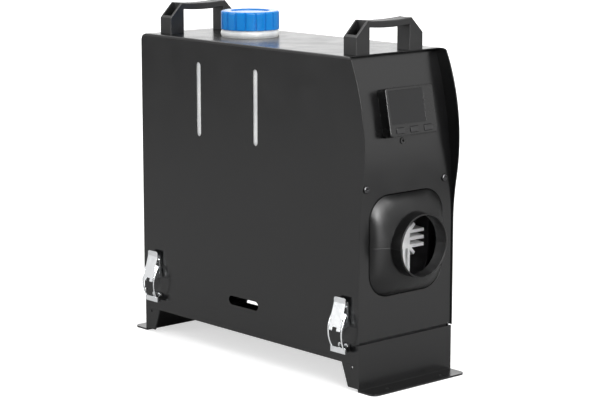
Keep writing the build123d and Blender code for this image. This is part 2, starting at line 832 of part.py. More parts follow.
def controller_case():
    front_wall = controller_depth - controller_wall
    case = slab((0, 0), controller_width, controller_height, controller_corner, 0,
                controller_depth)
    case = fillet(case.edges().group_by(Axis.Z)[-1], controller_edge)
    inner_corner = controller_corner - controller_wall / 2
    case -= slab((0, 0), controller_width - 2 * controller_wall,
                 controller_height - 2 * controller_wall, inner_corner, -1, front_wall)
    window = 2 * screen_gap
    case -= slab(screen_place(), screen_width + window, screen_height + window,
                 screen_corner + screen_gap, controller_depth - screen_thickness,
                 controller_depth + 1)
    for place in button_places():
        case -= slab(place, button_width + 2 * button_gap, button_height + 2 * button_gap,
                     button_corner + button_gap, front_wall - 1, controller_depth + 1)
    return controller_plane().location * case


def controller_back():
    """Back plate with the circuit board's pillars and the three switches."""
    fit = 2 * (controller_wall + back_fit)
    width = controller_width - fit
    height = controller_height - fit
    front_wall = controller_depth - controller_wall
    switch_top = front_wall - button_rim_thickness - button_travel - switch_gap
    corner = controller_corner - controller_wall / 2
    back = slab((0, 0), width, height, corner, 0, controller_wall)
    back += slab((0, 0), width - 2 * board_inset, height - 2 * board_inset, corner,
                 controller_wall, controller_wall + board_thickness)
    for place in button_places():
        back += slab(place, switch_width, switch_height, switch_height / 5, controller_wall,
                     switch_top)
    return controller_plane().location * back


def controller_screen():
    glass = slab(screen_place(), screen_width, screen_height, screen_corner,
                 controller_depth - screen_thickness, controller_depth - screen_recess)
    return controller_plane().location * glass


def controller_button(place):
    """Key with a rim behind the front wall that keeps it in."""
    front_wall = controller_depth - controller_wall
    rim = 2 * button_flange
    low = front_wall - button_rim_thickness
    key = slab(place, button_width, button_height, button_corner, low,
               controller_depth + button_proud)
    key = chamfer(key.edges().group_by(Axis.Z)[-1], button_edge)
    key += slab(place, button_width + rim, button_height + rim, button_corner, low,
                front_wall - button_rim_gap)
    return controller_plane().location * key


def cable_grommet():
    skin = case_sheet
    ring = Pos(0, 0, 0) * Cylinder(grommet_radius + grommet_lip, grommet_lip,
                                   align=(Align.CENTER, Align.CENTER, Align.MIN))
    ring += Pos(0, 0, -skin - 1) * Cylinder(grommet_radius, skin + 1,
                                            align=(Align.CENTER, Align.CENTER, Align.MIN))
    ring -= Cylinder(grommet_bore, 4 * (skin + grommet_lip))
    return grommet_plane().location * ring


# ---- Warm-air outlet ----
def outlet_hood():
    """Hood from a rounded square to a round collar; its rear end fits over the casing."""
    def form(size, corner, radius, start):
        base = section(panel_face) * RectangleRounded(size, size, corner)
        shoulder = panel_face + hood_shoulder
        across = 2 * radius + ring_flat
        ring = section(shoulder) * RectangleRounded(across, across, radius)
        hood = rounded_bar((start, panel_face), size, size, corner)
        return hood + loft([base, ring])

    collar_end = panel_face + hood_shoulder + collar_length
    hood = form(hood_size, hood_corner, collar_radius + collar_shoulder, hood_base)
    hood += rod((panel_face + hood_shoulder, 0, axis_height), (1, 0, 0), collar_radius,
                collar_length)
    inner = collar_radius - collar_wall
    grip = casing_front - 1
    size = hood_size - 2 * hood_wall
    hood -= form(size, hood_corner - hood_wall, inner, grip)
    hood -= rod((panel_face, 0, axis_height), (1, 0, 0), inner, collar_end - panel_face)
    fit = casing_size + 2 * casing_fit
    hood -= rounded_bar((hood_base - 1, casing_front + 1), fit, fit, casing_corner + casing_fit)
    return hood


# ---- Heater ----
def casing_half_shell(side):
    """Upper (+1) or lower (-1) half of the casing."""
    reach = (casing_rear, casing_front)
    shell = rounded_bar(reach, casing_size, casing_size, casing_corner)
    size = casing_size - 2 * casing_wall
    shell -= rounded_bar((casing_rear - 1, casing_front + 1), size, size,
                         casing_corner - casing_wall)
    keep = sorted((axis_height, axis_height + side * casing_size))
    return shell & block(reach, (-casing_size, casing_size), keep)


def lower_casing():
    casing = casing_half_shell(-1)
    x = (mount_foot_x[0] - window_gap, mount_foot_x[1] + window_gap)
    half = mount_foot_width / 2 + window_gap
    low = (casing_bottom - 1, casing_bottom + casing_wall + 1)
    casing -= block(x, (-half, half), low)
    casing -= rod((nozzle_x, nozzle_y, casing_bottom - 1), (0, 0, 1), nozzle_hole,
                  casing_wall + 2)
    return casing


def upper_casing():
    return casing_half_shell(1)


def heat_exchanger():
    """Cast core with fins all round, a flange to the blower and a foot with the two stubs."""
    core = rounded_bar((exchanger_rear, exchanger_nose), core_width, core_height, core_corner)
    nose = section(exchanger_nose) * RectangleRounded(core_width, core_height, core_corner)
    tip = section(exchanger_front) * RectangleRounded(nose_width, nose_height, core_end_corner)
    body = core + loft([nose, tip]) + exchanger_fins()
    bore = (exchanger_rear, 0, axis_height)
    body += rod(bore, (1, 0, 0), blower_radius, exchanger_flange)
    half = mount_foot_width / 2
    body += block(mount_foot_x, (-half, half), (casing_bottom, axis_height - core_height / 4))
    for x, radius in stubs():
        body += rod((x, 0, casing_bottom), (0, 0, -1), radius, stub_length)
        body += rod((x, 0, casing_bottom), (0, 0, -1), radius + stub_shoulder,
                    casing_bottom - cradle_top + stub_shoulder_below)
    body -= rod(bore, (1, 0, 0), chamber_bore, chamber_end - exchanger_rear)
    for x, radius in stubs():
        body -= rod((x, 0, axis_height), (0, 0, -1), radius - stub_wall,
                    axis_height - casing_bottom + stub_length)
    body -= rod((glow_x, 0, axis_height), (0, 0, 1), glow_radius, casing_half)
    seat = axis_height + core_height / 2 + 1
    body -= rod((glow_x, 0, seat), (0, 0, 1), glow_hex_radius + 1, casing_half)
    for x, y in stud_places():
        body -= rod((x, y, casing_bottom - 1), (0, 0, 1), stud_radius, stud_depth + 1)
    return body


def exchanger_fins():
    """Parallel fins on all four sides, and one beside each diagonal."""
    fins = []
    for turn, count, pitch in ((0, side_fins, side_fin_pitch),
                               (90, upright_fins, upright_fin_pitch)):
        for step in range(count):
            offset = (step - (count - 1) / 2) * pitch
            for angle in (turn, turn + 180):
                fins.append(fin(angle, offset, fin_reach, fin_front_reach))
    for angle, side in ((45, -1), (135, 1), (225, -1), (315, 1)):
        fins.append(fin(angle, side * corner_fin_offset, corner_fin_reach,
                        corner_fin_front_reach))
    return fins


def fin(angle, offset, reach, front_reach):
    """Plate along the core, standing out from the axis; it narrows with the core."""
    turn = math.radians(angle)
    outline = Polyline((exchanger_rear, 0), (exchanger_rear, reach), (exchanger_nose, reach),
                       (exchanger_front, front_reach), (exchanger_front, 0), close=True)
    plane = Plane(origin=(0, 0, axis_height), x_dir=(1, 0, 0),
                  z_dir=(0, -math.sin(turn), math.cos(turn)))
    return extrude(plane.offset(offset) * make_face(outline), fin_thickness / 2, both=True)


def stubs():
    """Place and radius of the combustion-air and exhaust stubs."""
    return ((air_stub_x, air_stub_radius), (exhaust_stub_x, exhaust_stub_radius))


def stud_places():
    half = mount_foot_width / 2 - stud_inset
    ends = (mount_foot_x[0] + stud_inset, mount_foot_x[1] - stud_inset)
    return [(x, y) for x in ends for y in (-half, half)]


def combustion_chamber():
    start = (exchanger_rear, 0, axis_height)
    chamber = tube(start, (1, 0, 0), burner_radius, burner_radius - burner_wall, burner_length)
    chamber += tube(start, (1, 0, 0), chamber_bore, burner_radius - burner_wall, 2 * burner_wall)
    chamber -= rod((glow_x, 0, axis_height), (0, 0, 1), glow_tip_radius + glow_gap,
                   2 * burner_radius)
    return chamber


def glow_plug():
    seat = axis_height + core_height / 2 + 1
    plug = rod((glow_x, 0, seat), (0, 0, 1), glow_hex_radius - 1, glow_hex_length)
    hexagon = Pos(glow_x, 0, seat) * RegularPolygon(glow_hex_radius, 6)
    plug += extrude(hexagon, glow_hex_length / 2)
    thread = seat - axis_height - chamber_bore
    plug += rod((glow_x, 0, seat), (0, 0, -1), glow_radius, thread)
    tip = seat - axis_height - burner_radius + glow_reach
    plug += rod((glow_x, 0, seat), (0, 0, -1), glow_tip_radius, tip)
    return plug


def mount_gasket():
    x = (mount_foot_x[0] - gasket_margin, mount_foot_x[1] + gasket_margin)
    half = mount_foot_width / 2 + gasket_margin
    gasket = block(x, (-half, half), (gasket_bottom, casing_bottom))
    return gasket - mount_holes(window_gap)


def mount_holes(gap):
    """Holes for the two stubs and the four studs."""
    cutters = [rod((x, 0, tray_floor), (0, 0, 1), radius + stub_shoulder + gap,
                   casing_bottom - tray_floor + 1) for x, radius in stubs()]
    cutters += [rod((x, y, tray_floor), (0, 0, 1), stud_radius, casing_bottom - tray_floor + 1)
                for x, y in stud_places()]
    return cutters


def heater_cradle():
    """Folded bridge that carries the heater over the tray."""
    half = cradle_width / 2
    cradle = block(cradle_x, (-half, half), (tray_floor, gasket_bottom))
    inside = half - cradle_sheet
    cradle -= block((cradle_x[0] - 1, cradle_x[1] + 1), (-inside, inside),
                    (tray_floor - 1, cradle_top))
    foot_end = tray_inside - cradle_foot_gap
    for side in (-1, 1):
        fold = sorted((side * half, side * foot_end))
        cradle += block(cradle_x, fold, (tray_floor, tray_floor + cradle_sheet))
    return cradle - mount_holes(cradle_window_gap)


def cradle_nuts():
    """Four studs with their nuts under the cradle."""
    studs = []
    for x, y in stud_places():
        top = casing_bottom + stud_depth
        low = cradle_top - nut_height - 2
        stud = rod((x, y, top), (0, 0, -1), stud_radius, top - low)
        nut = Pos(x, y, cradle_top) * RegularPolygon(nut_radius, 6)
        studs.append(stud + extrude(nut, -nut_height))
    return Compound(children=studs)


# ---- Blower ----
def blower_housing():
    """Combustion-air housing between the motor and the exchanger."""
    length = exchanger_rear - blower_rear
    start = (blower_rear, 0, axis_height)
    housing = rod(start, (1, 0, 0), blower_radius, length)
    housing -= rod((blower_rear + blower_wall, 0, axis_height), (1, 0, 0), blower_cavity_radius,
                   length - 2 * blower_wall)
    housing -= rod(start, (1, 0, 0), shaft_radius + window_gap, blower_wall)
    outlet = (exchanger_rear - blower_wall, 0, axis_height)
    housing -= rod(outlet, (1, 0, 0), burner_radius / 2, blower_wall)
    nozzle = (nozzle_x, nozzle_y, casing_bottom - nozzle_length)
    inside = math.sqrt(blower_radius**2 - nozzle_y**2) - 2
    rise = axis_height - inside - nozzle[2]
    housing += rod(nozzle, (0, 0, 1), nozzle_radius, rise)
    return housing


def blower_motor():
    rear = blower_rear - motor_length
    start = (rear, 0, axis_height)
    motor = rod(start, (1, 0, 0), motor_radius, motor_length)
    motor = chamfer(motor.edges().sort_by(Axis.X)[0], motor_edge)
    motor -= rod((rear + motor_wall, 0, axis_height), (1, 0, 0), motor_cavity_radius,
                 motor_length - 2 * motor_wall)
    return motor - rod(start, (1, 0, 0), bush_radius, motor_length)


def motor_bushes():
    """Two plain bushes in the ends of the motor."""
    rear = blower_rear - motor_length
    bore = shaft_radius + shaft_fit
    bushes = [tube((x, 0, axis_height), (1, 0, 0), bush_radius, bore, motor_wall)
              for x in (rear, blower_rear - motor_wall)]
    return Compound(children=bushes)


def rotor_shaft():
    """Shaft with the motor's armature on it."""
    length = blower_rear + blower_wall + impeller_gap + impeller_height - shaft_rear
    shaft = rod((shaft_rear, 0, axis_height), (1, 0, 0), shaft_radius, length)
    rear = blower_rear - motor_length + motor_wall + armature_gap
    shaft += rod((rear, 0, axis_height), (1, 0, 0), armature_radius,
                 motor_length - 2 * motor_wall - 2 * armature_gap)
    return shaft


def fan_wheel():
    """Axial wheel whose blades twist from hub to tip."""
    hub = rod((shaft_rear, 0, axis_height), (1, 0, 0), fan_hub_radius, fan_hub_length)
    hub = fillet(hub.edges().sort_by(Axis.X)[0], fan_nose)
    middle = shaft_rear + fan_hub_length / 2
    blade = loft([blade_section(middle, fan_hub_radius - fan_root, fan_root_pitch),
                  blade_section(middle, fan_radius, fan_tip_pitch)])
    axis = Axis((middle, 0, axis_height), (1, 0, 0))
    wheel = hub
    for step in range(fan_blades):
        wheel += blade.rotate(axis, step * 360 / fan_blades)
    return wheel - rod((shaft_rear, 0, axis_height), (1, 0, 0), shaft_radius, fan_hub_length)


def blade_section(x, radius, pitch):
    """Section of a blade standing up from the axis, turned by its pitch."""
    plane = Plane(origin=(x, 0, axis_height + radius), x_dir=(1, 0, 0), z_dir=(0, 0, 1))
    return plane * Rot(0, 0, pitch) * Rectangle(fan_chord, fan_blade_thickness)


def combustion_impeller():
    """Disc with radial vanes on the front end of the shaft."""
    start = blower_rear + blower_wall + impeller_gap
    wheel = rod((start, 0, axis_height), (1, 0, 0), impeller_radius, impeller_disc)
    wheel += rod((start, 0, axis_height), (1, 0, 0), impeller_hub_radius, impeller_height)
    vane = block((start, start + impeller_height), (-vane_thickness / 2, vane_thickness / 2),
                 (axis_height + impeller_hub_radius - 1, axis_height + impeller_radius))
    axis = Axis((start, 0, axis_height), (1, 0, 0))
    for step in range(impeller_vanes):
        wheel += vane.rotate(axis, step * 360 / impeller_vanes)
    return wheel - rod((start, 0, axis_height), (1, 0, 0), shaft_radius, impeller_height)


def control_unit():
    """Electronics box under the roof of the upper casing."""
    roof = axis_height + casing_half - casing_wall
    half = unit_width / 2
    unit = block((unit_x - unit_length / 2, unit_x + unit_length / 2), (-half, half),
                 (roof - unit_height, roof))
    return fillet(unit.edges().filter_by(Axis.Z), unit_corner)


def inlet_cowl():
    """Intake ring from the casing to the hole in the rear panel."""
    base = (casing_rear - cowl_base, casing_rear)
    cowl = rounded_bar(base, casing_size, casing_size, casing_corner)
    length = casing_rear - cowl_base - rear_face
    start = (rear_face, 0, axis_height)
    cowl += rod(start, (1, 0, 0), cowl_radius, length)
    return cowl - rod(start, (1, 0, 0), cowl_radius - cowl_wall, length + cowl_base)


def inlet_grille():
    """Guard of rings and spokes in the mouth of the cowl."""
    start = (rear_face, 0, axis_height)
    bore = cowl_radius - cowl_wall
    grille = rod(start, (1, 0, 0), grille_hub_radius, grille_depth)
    for ring in range(1, grille_rings + 1):
        radius = grille_hub_radius + (bore - grille_hub_radius) * ring / grille_rings
        grille += tube(start, (1, 0, 0), radius, radius - grille_bar, grille_depth)
    spoke = block((rear_face, rear_face + grille_depth), (-grille_bar / 2, grille_bar / 2),
                  (axis_height + grille_hub_radius - 1, axis_height + bore - grille_bar / 2))
    axis = Axis(start, (1, 0, 0))
    for step in range(grille_spokes):
        grille += spoke.rotate(axis, step * 360 / grille_spokes)
    return grille


# ---- Fuel line ----
def fuel_filter():
    axis = (outlet_spout_x, outlet_spout_y)
    body = rod((*axis, filter_bottom + filter_cone), (0, 0, 1), filter_radius,
               filter_length - 2 * filter_cone)
    body += rod((*axis, filter_bottom + filter_cone / 2), (0, 0, 1), filter_neck_radius,
                filter_length - filter_cone)
    start = (*axis, filter_bottom - barb_length + filter_cone / 2)
    return body + rod(start, (0, 0, 1), barb_radius, filter_length + 2 * barb_length - filter_cone)


def fuel_pump():
    """Metering pump lying along the tray."""
    start = (pump_rear, pump_y, pump_z)
    body = rod((pump_rear + pump_end_length, pump_y, pump_z), (1, 0, 0), pump_radius,
               pump_length - 2 * pump_end_length)
    body = chamfer(body.edges(), pump_edge)
    body += rod(start, (1, 0, 0), pump_end_radius, pump_length)
    barb = (pump_rear - barb_length, pump_y, pump_z)
    return body + rod(barb, (1, 0, 0), barb_radius, pump_length + 2 * barb_length)


def pump_clamp():
    """Rubber-lined saddle between the pump and the tray."""
    middle = pump_rear + pump_length / 2
    x = (middle - clamp_length / 2, middle + clamp_length / 2)
    outer = pump_radius + clamp_fit + clamp_wall
    clamp = rod((x[0], pump_y, pump_z), (1, 0, 0), outer, clamp_length)
    clamp += block(x, (pump_y - outer, pump_y + outer), (tray_floor, pump_z - pump_radius / 2))
    bore = (x[0], pump_y, pump_z)
    return clamp - rod(bore, (1, 0, 0), pump_radius + clamp_fit, clamp_length)


def hose(points):
    """Hose along straight runs joined by arcs, pushed over the barbs at its ends."""
    path = FilletPolyline(*points, radius=hose_bend)
    start = Plane(origin=path @ 0, z_dir=path % 0)
    hollow = hose_radius - hose_bore
    pipe = sweep(start * Circle(hose_radius), path=path)
    return pipe - sweep(start * Circle(hose_radius - hollow), path=path)


def feed_hose():
    """Straight hose from the tank's spout down to the filter."""
    top = shelf_top - spout_length + hose_grip
    low = filter_bottom + filter_length - filter_cone / 2
    start = (outlet_spout_x, outlet_spout_y, low)
    pipe = rod(start, (0, 0, 1), hose_radius, top - low)
    pipe -= rod(start, (0, 0, 1), barb_radius, barb_length)
    pipe -= rod((outlet_spout_x, outlet_spout_y, top), (0, 0, -1), spout_radius,
                hose_grip + 2)
    return pipe - rod(start, (0, 0, 1), hose_bore / 2, top - low)


def pump_hose():
    corner = (outlet_spout_x, outlet_spout_y, pump_z)
    top = (outlet_spout_x, outlet_spout_y, filter_bottom + filter_cone / 2)
    aside = (pump_rear - barb_length - hose_radius, pump_y, pump_z)
    return hose([top, corner, aside, (pump_rear, pump_y, pump_z)])


def heater_hose():
    start = (pump_rear + pump_length, pump_y, pump_z)
    turn = (nozzle_x, pump_y, pump_z)
    corner = (nozzle_x, nozzle_y, pump_z)
    return hose([start, turn, corner, (nozzle_x, nozzle_y, casing_bottom - hose_casing_gap)])


def power_gland():
    start = (rear_face, gland_y, gland_z)
    gland = rod(start, (-1, 0, 0), gland_radius, gland_length / 2)
    gland += rod(start, (-1, 0, 0), gland_nut_radius, gland_length)
    inner = case_sheet + gland_inside
    gland += rod(start, (1, 0, 0), gland_thread, inner)
    bore = (rear_face - gland_length, gland_y, gland_z)
    return gland - rod(bore, (1, 0, 0), gland_bore, gland_length + inner)


# ---- Latches ----
# A latch is drawn in its own frame: x along the case, y out from the side, z up.
def latch_corners():
    """Frames of the four latches: front right, front left, rear right, rear left."""
    frames = []
    for x in (latch_x, -latch_x):
        for side in (-1, 1):
            turn = 180 if side < 0 else 0
            frames.append(Pos(x, side * case_width / 2, 0) * Rot(0, 0, turn))
    return frames


def side_view(points, width):
    """Profile given as (out, height) pairs, extruded to both sides of the latch's middle."""
    face = make_face(Polyline(*points, close=True))
    return extrude(Plane.YZ * face, width / 2, both=True)


def pivot_rod(out, height, radius, length):
    return rod((-length / 2, out, height), (1, 0, 0), radius, length)


def latch_base():
    """Base plate on the side, with two ears that hold the lever's pin."""
    ears_half = latch_width / 2 - latch_sheet - latch_ear_gap
    low = latch_pivot_z - latch_ear_radius
    base = block((-ears_half, ears_half), (0, latch_sheet), (low, latch_base_top))
    ear = block((-ears_half, ears_half), (0, latch_pivot_out),
                (low, latch_pivot_z + latch_ear_radius))
    ear += pivot_rod(latch_pivot_out, latch_pivot_z, latch_ear_radius, 2 * ears_half)
    gap = ears_half - latch_sheet
    ear -= block((-gap, gap), (latch_sheet, 2 * latch_pivot_out), (low - 1, latch_base_top))
    base += ear
    base -= pivot_rod(latch_pivot_out, latch_pivot_z, latch_pin_radius, latch_width)
    return base - latch_base_rivets()


def latch_base_rivets():
    """The two rivets through the base and the side."""
    out = base_rivet_spread / 2
    return [rivet(x, latch_base_top - base_rivet_drop, latch_sheet, case_sheet)
            for x in (-out, out)]


def rivet(x, z, face, depth):
    shank = rod((x, face, z), (0, -1, 0), rivet_radius, face + depth)
    return shank + rod((x, face, z), (0, 1, 0), rivet_head_radius, rivet_head_height)


def latch_pin():
    """Lever pin with a flat head at each end."""
    length = latch_width + 2 * latch_fit
    pin = pivot_rod(latch_pivot_out, latch_pivot_z, latch_pin_radius, length)
    for side in (-1, 1):
        head = (side * length / 2, latch_pivot_out, latch_pivot_z)
        pin += rod(head, (side, 0, 0), latch_pin_head_radius, latch_pin_head)
    return pin


def latch_lever():
    """Folded lever: a sloping face between two cheeks, with an upright tip."""
    t = latch_sheet
    slope = math.atan2(lever_foot_out - lever_neck_out, lever_neck_z - lever_foot_z)
    step = t / math.cos(slope)
    foot = (lever_foot_out, lever_foot_z)
    neck = (lever_neck_out, lever_neck_z)
    rear = bail_out - cheek_behind_bail
    cheek = [foot, neck, (lever_neck_out - step, lever_neck_z), (rear, bail_z + cheek_beside_bail),
             (rear, bail_z - cheek_beside_bail),
             (latch_pivot_out - cheek_behind_pin, latch_pivot_z - cheek_under_pin),
             (latch_pivot_out, lever_foot_z + cheek_toe)]
    lever = side_view(cheek, latch_width)
    behind = [(lever_foot_out - step, lever_foot_z - 1), (lever_neck_out - step, lever_neck_z),
              (0, lever_neck_z), (0, lever_foot_z - 1)]
    lever -= side_view(behind, latch_width - 2 * t)
    tip = [neck, (lever_tip_out, lever_tip_z), (lever_tip_out - step, lever_tip_z),
           (lever_neck_out - step, lever_neck_z)]
    lever += side_view(tip, latch_width)
    height = lever_tip_z - lever_foot_z
    outline = Pos(0, lever_foot_z + height / 2) * Rectangle(latch_width, height)
    outline = fillet(outline.vertices().group_by(Axis.Y)[-1], lever_corner)
    lever &= extrude(Plane.XZ * outline, 2 * lever_foot_out, both=True)
    notch = lever_notch_width / 2
    lever -= block((-notch, notch), (latch_pivot_out, 2 * lever_foot_out),
                   (lever_foot_z - 1, lever_foot_z + lever_notch_height))
    lever -= pivot_rod(latch_pivot_out, latch_pivot_z, latch_pin_radius + latch_fit,
                       2 * latch_width)
    return lever - pivot_rod(bail_out, bail_z, bail_radius + latch_fit, 2 * latch_width)


def latch_bail():
    """Two bowed wires, their ends bent into the lever's cheeks, with a claw plate below."""
    half = claw_width / 2
    bail = block((-half, half), (claw_inner, claw_outer), (claw_bottom, claw_top))
    bail += block((-half, half), (claw_shelf_in, claw_outer),
                  (claw_bottom, claw_bottom + claw_shelf))
    x = bail_spread / 2
    for side in (-1, 1):
        wire = Spline((side * x, bail_out, bail_z), (side * x, bail_bow, bail_bow_z),
                      (side * bail_end_spread / 2, claw_out, claw_top - claw_sheet))
        start = Plane(origin=wire @ 0, z_dir=wire % 0)
        bail += sweep(start * Circle(bail_radius), path=wire)
        end = x + bail_radius - latch_width / 2 + latch_sheet
        bail += rod((side * (x + bail_radius), bail_out, bail_z), (-side, 0, 0), bail_radius, end)
    return bail


def latch_keeper():
    """Angle on the tray, whose lip lies over the claw's edge."""
    half = keeper_width / 2
    wall = -tray_step
    keeper = block((-half, half), (wall, wall + latch_sheet), (keeper_low, keeper_top))
    keeper += block((-half, half), (wall, keeper_lip_out), (keeper_low, keeper_low + latch_sheet))
    return keeper - keeper_rivets()


def keeper_rivets():
    wall = -tray_step
    out = keeper_rivet_spread / 2
    return [Pos(0, wall, 0) * rivet(x, keeper_top - keeper_rivet_drop, latch_sheet, tray_sheet)
            for x in (-out, out)]


def at_corners(shape):
    return Compound(children=[frame * shape for frame in latch_corners()])


def latch_rivets():
    """All the rivets of the four latches."""
    rivets = []
    for frame in latch_corners():
        rivets += [frame * one for one in latch_base_rivets() + keeper_rivets()]
    return Compound(children=rivets)


# ---- Build ----
os.makedirs("parts", exist_ok=True)

save(upper_shell(), "upper_shell")
save(front_panel(), "front_panel")
save(rear_panel(), "rear_panel")
save(base_tray(), "base_tray")
save(front_foot(), "front_foot")
save(rear_foot(), "rear_foot")
save(front_bulkhead(), "front_bulkhead")
save(rear_bulkhead(), "rear_bulkhead")
save(tank_shelf(), "tank_shelf")
save(panel_screws(), "panel_screws")

save(handle(handle_front_x), "front_handle")
save(handle(handle_rear_x), "rear_handle")
save(handle_screws(), "handle_screws")

save(fuel_tank(), "fuel_tank")
save(filler_cap(), "filler_cap")
save(cap_seal(), "cap_seal")

save(controller_case(), "controller_case")
save(controller_back(), "controller_back")
save(controller_screen(), "controller_screen")
for place, name in zip(button_places(), ("left", "middle", "right")):
    save(controller_button(place), "button_" + name)
save(cable_grommet(), "cable_grommet")

save(outlet_hood(), "outlet_hood")
save(lower_casing(), "lower_casing")
save(upper_casing(), "upper_casing")
save(heat_exchanger(), "heat_exchanger")
save(combustion_chamber(), "combustion_chamber")
save(glow_plug(), "glow_plug")
save(mount_gasket(), "mount_gasket")
save(heater_cradle(), "heater_cradle")
save(cradle_nuts(), "cradle_nuts")

save(blower_housing(), "blower_housing")
save(blower_motor(), "blower_motor")
save(motor_bushes(), "motor_bushes")
save(rotor_shaft(), "rotor_shaft")
save(fan_wheel(), "fan_wheel")
save(combustion_impeller(), "combustion_impeller")
save(control_unit(), "control_unit")
save(inlet_cowl(), "inlet_cowl")
save(inlet_grille(), "inlet_grille")

save(fuel_filter(), "fuel_filter")
save(fuel_pump(), "fuel_pump")
save(pump_clamp(), "pump_clamp")
save(feed_hose(), "feed_hose")
save(pump_hose(), "pump_hose")
save(heater_hose(), "heater_hose")
save(power_gland(), "power_gland")

save(at_corners(latch_base()), "latch_bases")
save(at_corners(latch_pin()), "latch_pins")
save(at_corners(latch_keeper()), "latch_keepers")
save(latch_rivets(), "latch_rivets")
corner_names = ("front_right", "front_left", "rear_right", "rear_left")
for frame, name in zip(latch_corners(), corner_names):
    save(frame * latch_lever(), "latch_lever_" + name)
    save(frame * latch_bail(), "latch_bail_" + name)
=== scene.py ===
"""Looks of a portable diesel air heater: finishes, outlet hood, neck flange, floor and light."""

import math

import bmesh
import bpy
from bpy.props import FloatProperty, FloatVectorProperty, IntProperty, PointerProperty
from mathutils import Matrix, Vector


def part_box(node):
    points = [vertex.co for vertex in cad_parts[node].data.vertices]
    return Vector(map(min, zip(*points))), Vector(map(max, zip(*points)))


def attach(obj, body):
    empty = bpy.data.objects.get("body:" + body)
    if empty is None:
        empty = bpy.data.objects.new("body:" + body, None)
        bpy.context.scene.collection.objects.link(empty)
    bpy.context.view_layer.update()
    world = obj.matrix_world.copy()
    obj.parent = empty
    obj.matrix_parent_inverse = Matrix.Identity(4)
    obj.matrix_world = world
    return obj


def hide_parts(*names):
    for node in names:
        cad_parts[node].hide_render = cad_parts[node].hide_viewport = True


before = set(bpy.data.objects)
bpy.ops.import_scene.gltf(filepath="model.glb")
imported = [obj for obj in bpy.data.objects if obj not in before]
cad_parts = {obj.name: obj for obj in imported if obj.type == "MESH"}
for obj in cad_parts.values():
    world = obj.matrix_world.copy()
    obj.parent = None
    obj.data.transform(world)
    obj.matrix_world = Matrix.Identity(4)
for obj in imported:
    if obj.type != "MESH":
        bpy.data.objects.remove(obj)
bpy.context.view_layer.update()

bl_info = {
    "name": "Diesel air heater",
    "version": (1, 0, 0),
    "blender": (4, 5, 0),
    "location": "View3D > Sidebar > Heater",
    "description": "Finishes and fittings of a portable diesel air heater",
    "category": "Object",
}


# ---- Sizes and colours that a user would change ----
def colour(name, description, default):
    """Property for a scene-linear colour."""
    return FloatVectorProperty(name=name, description=description, default=default, size=3,
                               min=0.0, max=1.0, subtype="COLOR")


def length(name, description, default):
    """Property for a length in metres."""
    return FloatProperty(name=name, description=description, default=default, min=0.0,
                         subtype="DISTANCE", unit="LENGTH")


def factor(name, description, default):
    """Property between 0 and 1."""
    return FloatProperty(name=name, description=description, default=default, min=0.0, max=1.0,
                         subtype="FACTOR")


class HeaterColours(bpy.types.PropertyGroup):
    """Base colours of the finishes"""

    case: colour("Case", "Powder coat of the case, tray and feet", (0.002, 0.002, 0.0022))
    inner: colour("Inner frame", "Paint of the bulkheads, shelf and cradle", (0.02, 0.02, 0.021))
    handle: colour("Handles", "Nylon of the carry handles", (0.003, 0.003, 0.0032))
    duct: colour("Outlet", "Nylon of the hood and its collar", (0.002, 0.002, 0.0021))
    casing: colour("Casing", "Plastic of the heater's casing and intake", (0.022, 0.022, 0.023))
    controller: colour("Controller", "Plastic of the controller", (0.0015, 0.0015, 0.0016))
    screen: colour("Screen", "Display window", (0.0012, 0.0013, 0.0016))
    screen_panel: colour("Screen panel", "Dim panel behind the window", (0.002, 0.0022, 0.003))
    board: colour("Board", "Circuit board at the back of the controller", (0.01, 0.06, 0.03))
    button: colour("Buttons", "Keys of the controller", (0.006, 0.006, 0.0064))
    tank: colour("Tank", "Polyethylene of the tank and its neck", (0.83, 0.84, 0.83))
    tank_cloud: colour("Tank clouds", "Thicker parts of the tank's wall", (0.62, 0.64, 0.65))
    cap: colour("Cap", "Plastic of the filler cap", (0.001, 0.21, 0.65))
    cap_scuff: colour("Cap scuffs", "Worn parts of the filler cap", (0.002, 0.25, 0.7))
    rubber: colour("Rubber", "Seal, grommet, saddle, gasket and hoses", (0.012, 0.012, 0.012))
    zinc: colour("Latches", "Bright zinc of the latches", (0.83, 0.845, 0.86))
    aluminium: colour("Castings", "Cast aluminium of the exchanger and blower", (0.82, 0.825, 0.83))
    bronze: colour("Bushes", "Sintered bronze", (0.52, 0.33, 0.14))
    screw: colour("Screws", "Zinc of the handles' screws and the cradle's nuts", (0.6, 0.6, 0.6))
    panel_screw: colour("Panel screws", "Black zinc of the button heads", (0.07, 0.07, 0.072))
    burner: colour("Burner", "Heated steel of the chamber", (0.42, 0.37, 0.32))
    steel: colour("Steel", "Glow plug, shaft and pump", (0.62, 0.61, 0.58))
    motor: colour("Motor", "Paint of the blower's motor", (0.2, 0.205, 0.21))
    filter: colour("Filter", "Nylon of the fuel filter", (0.72, 0.74, 0.71))


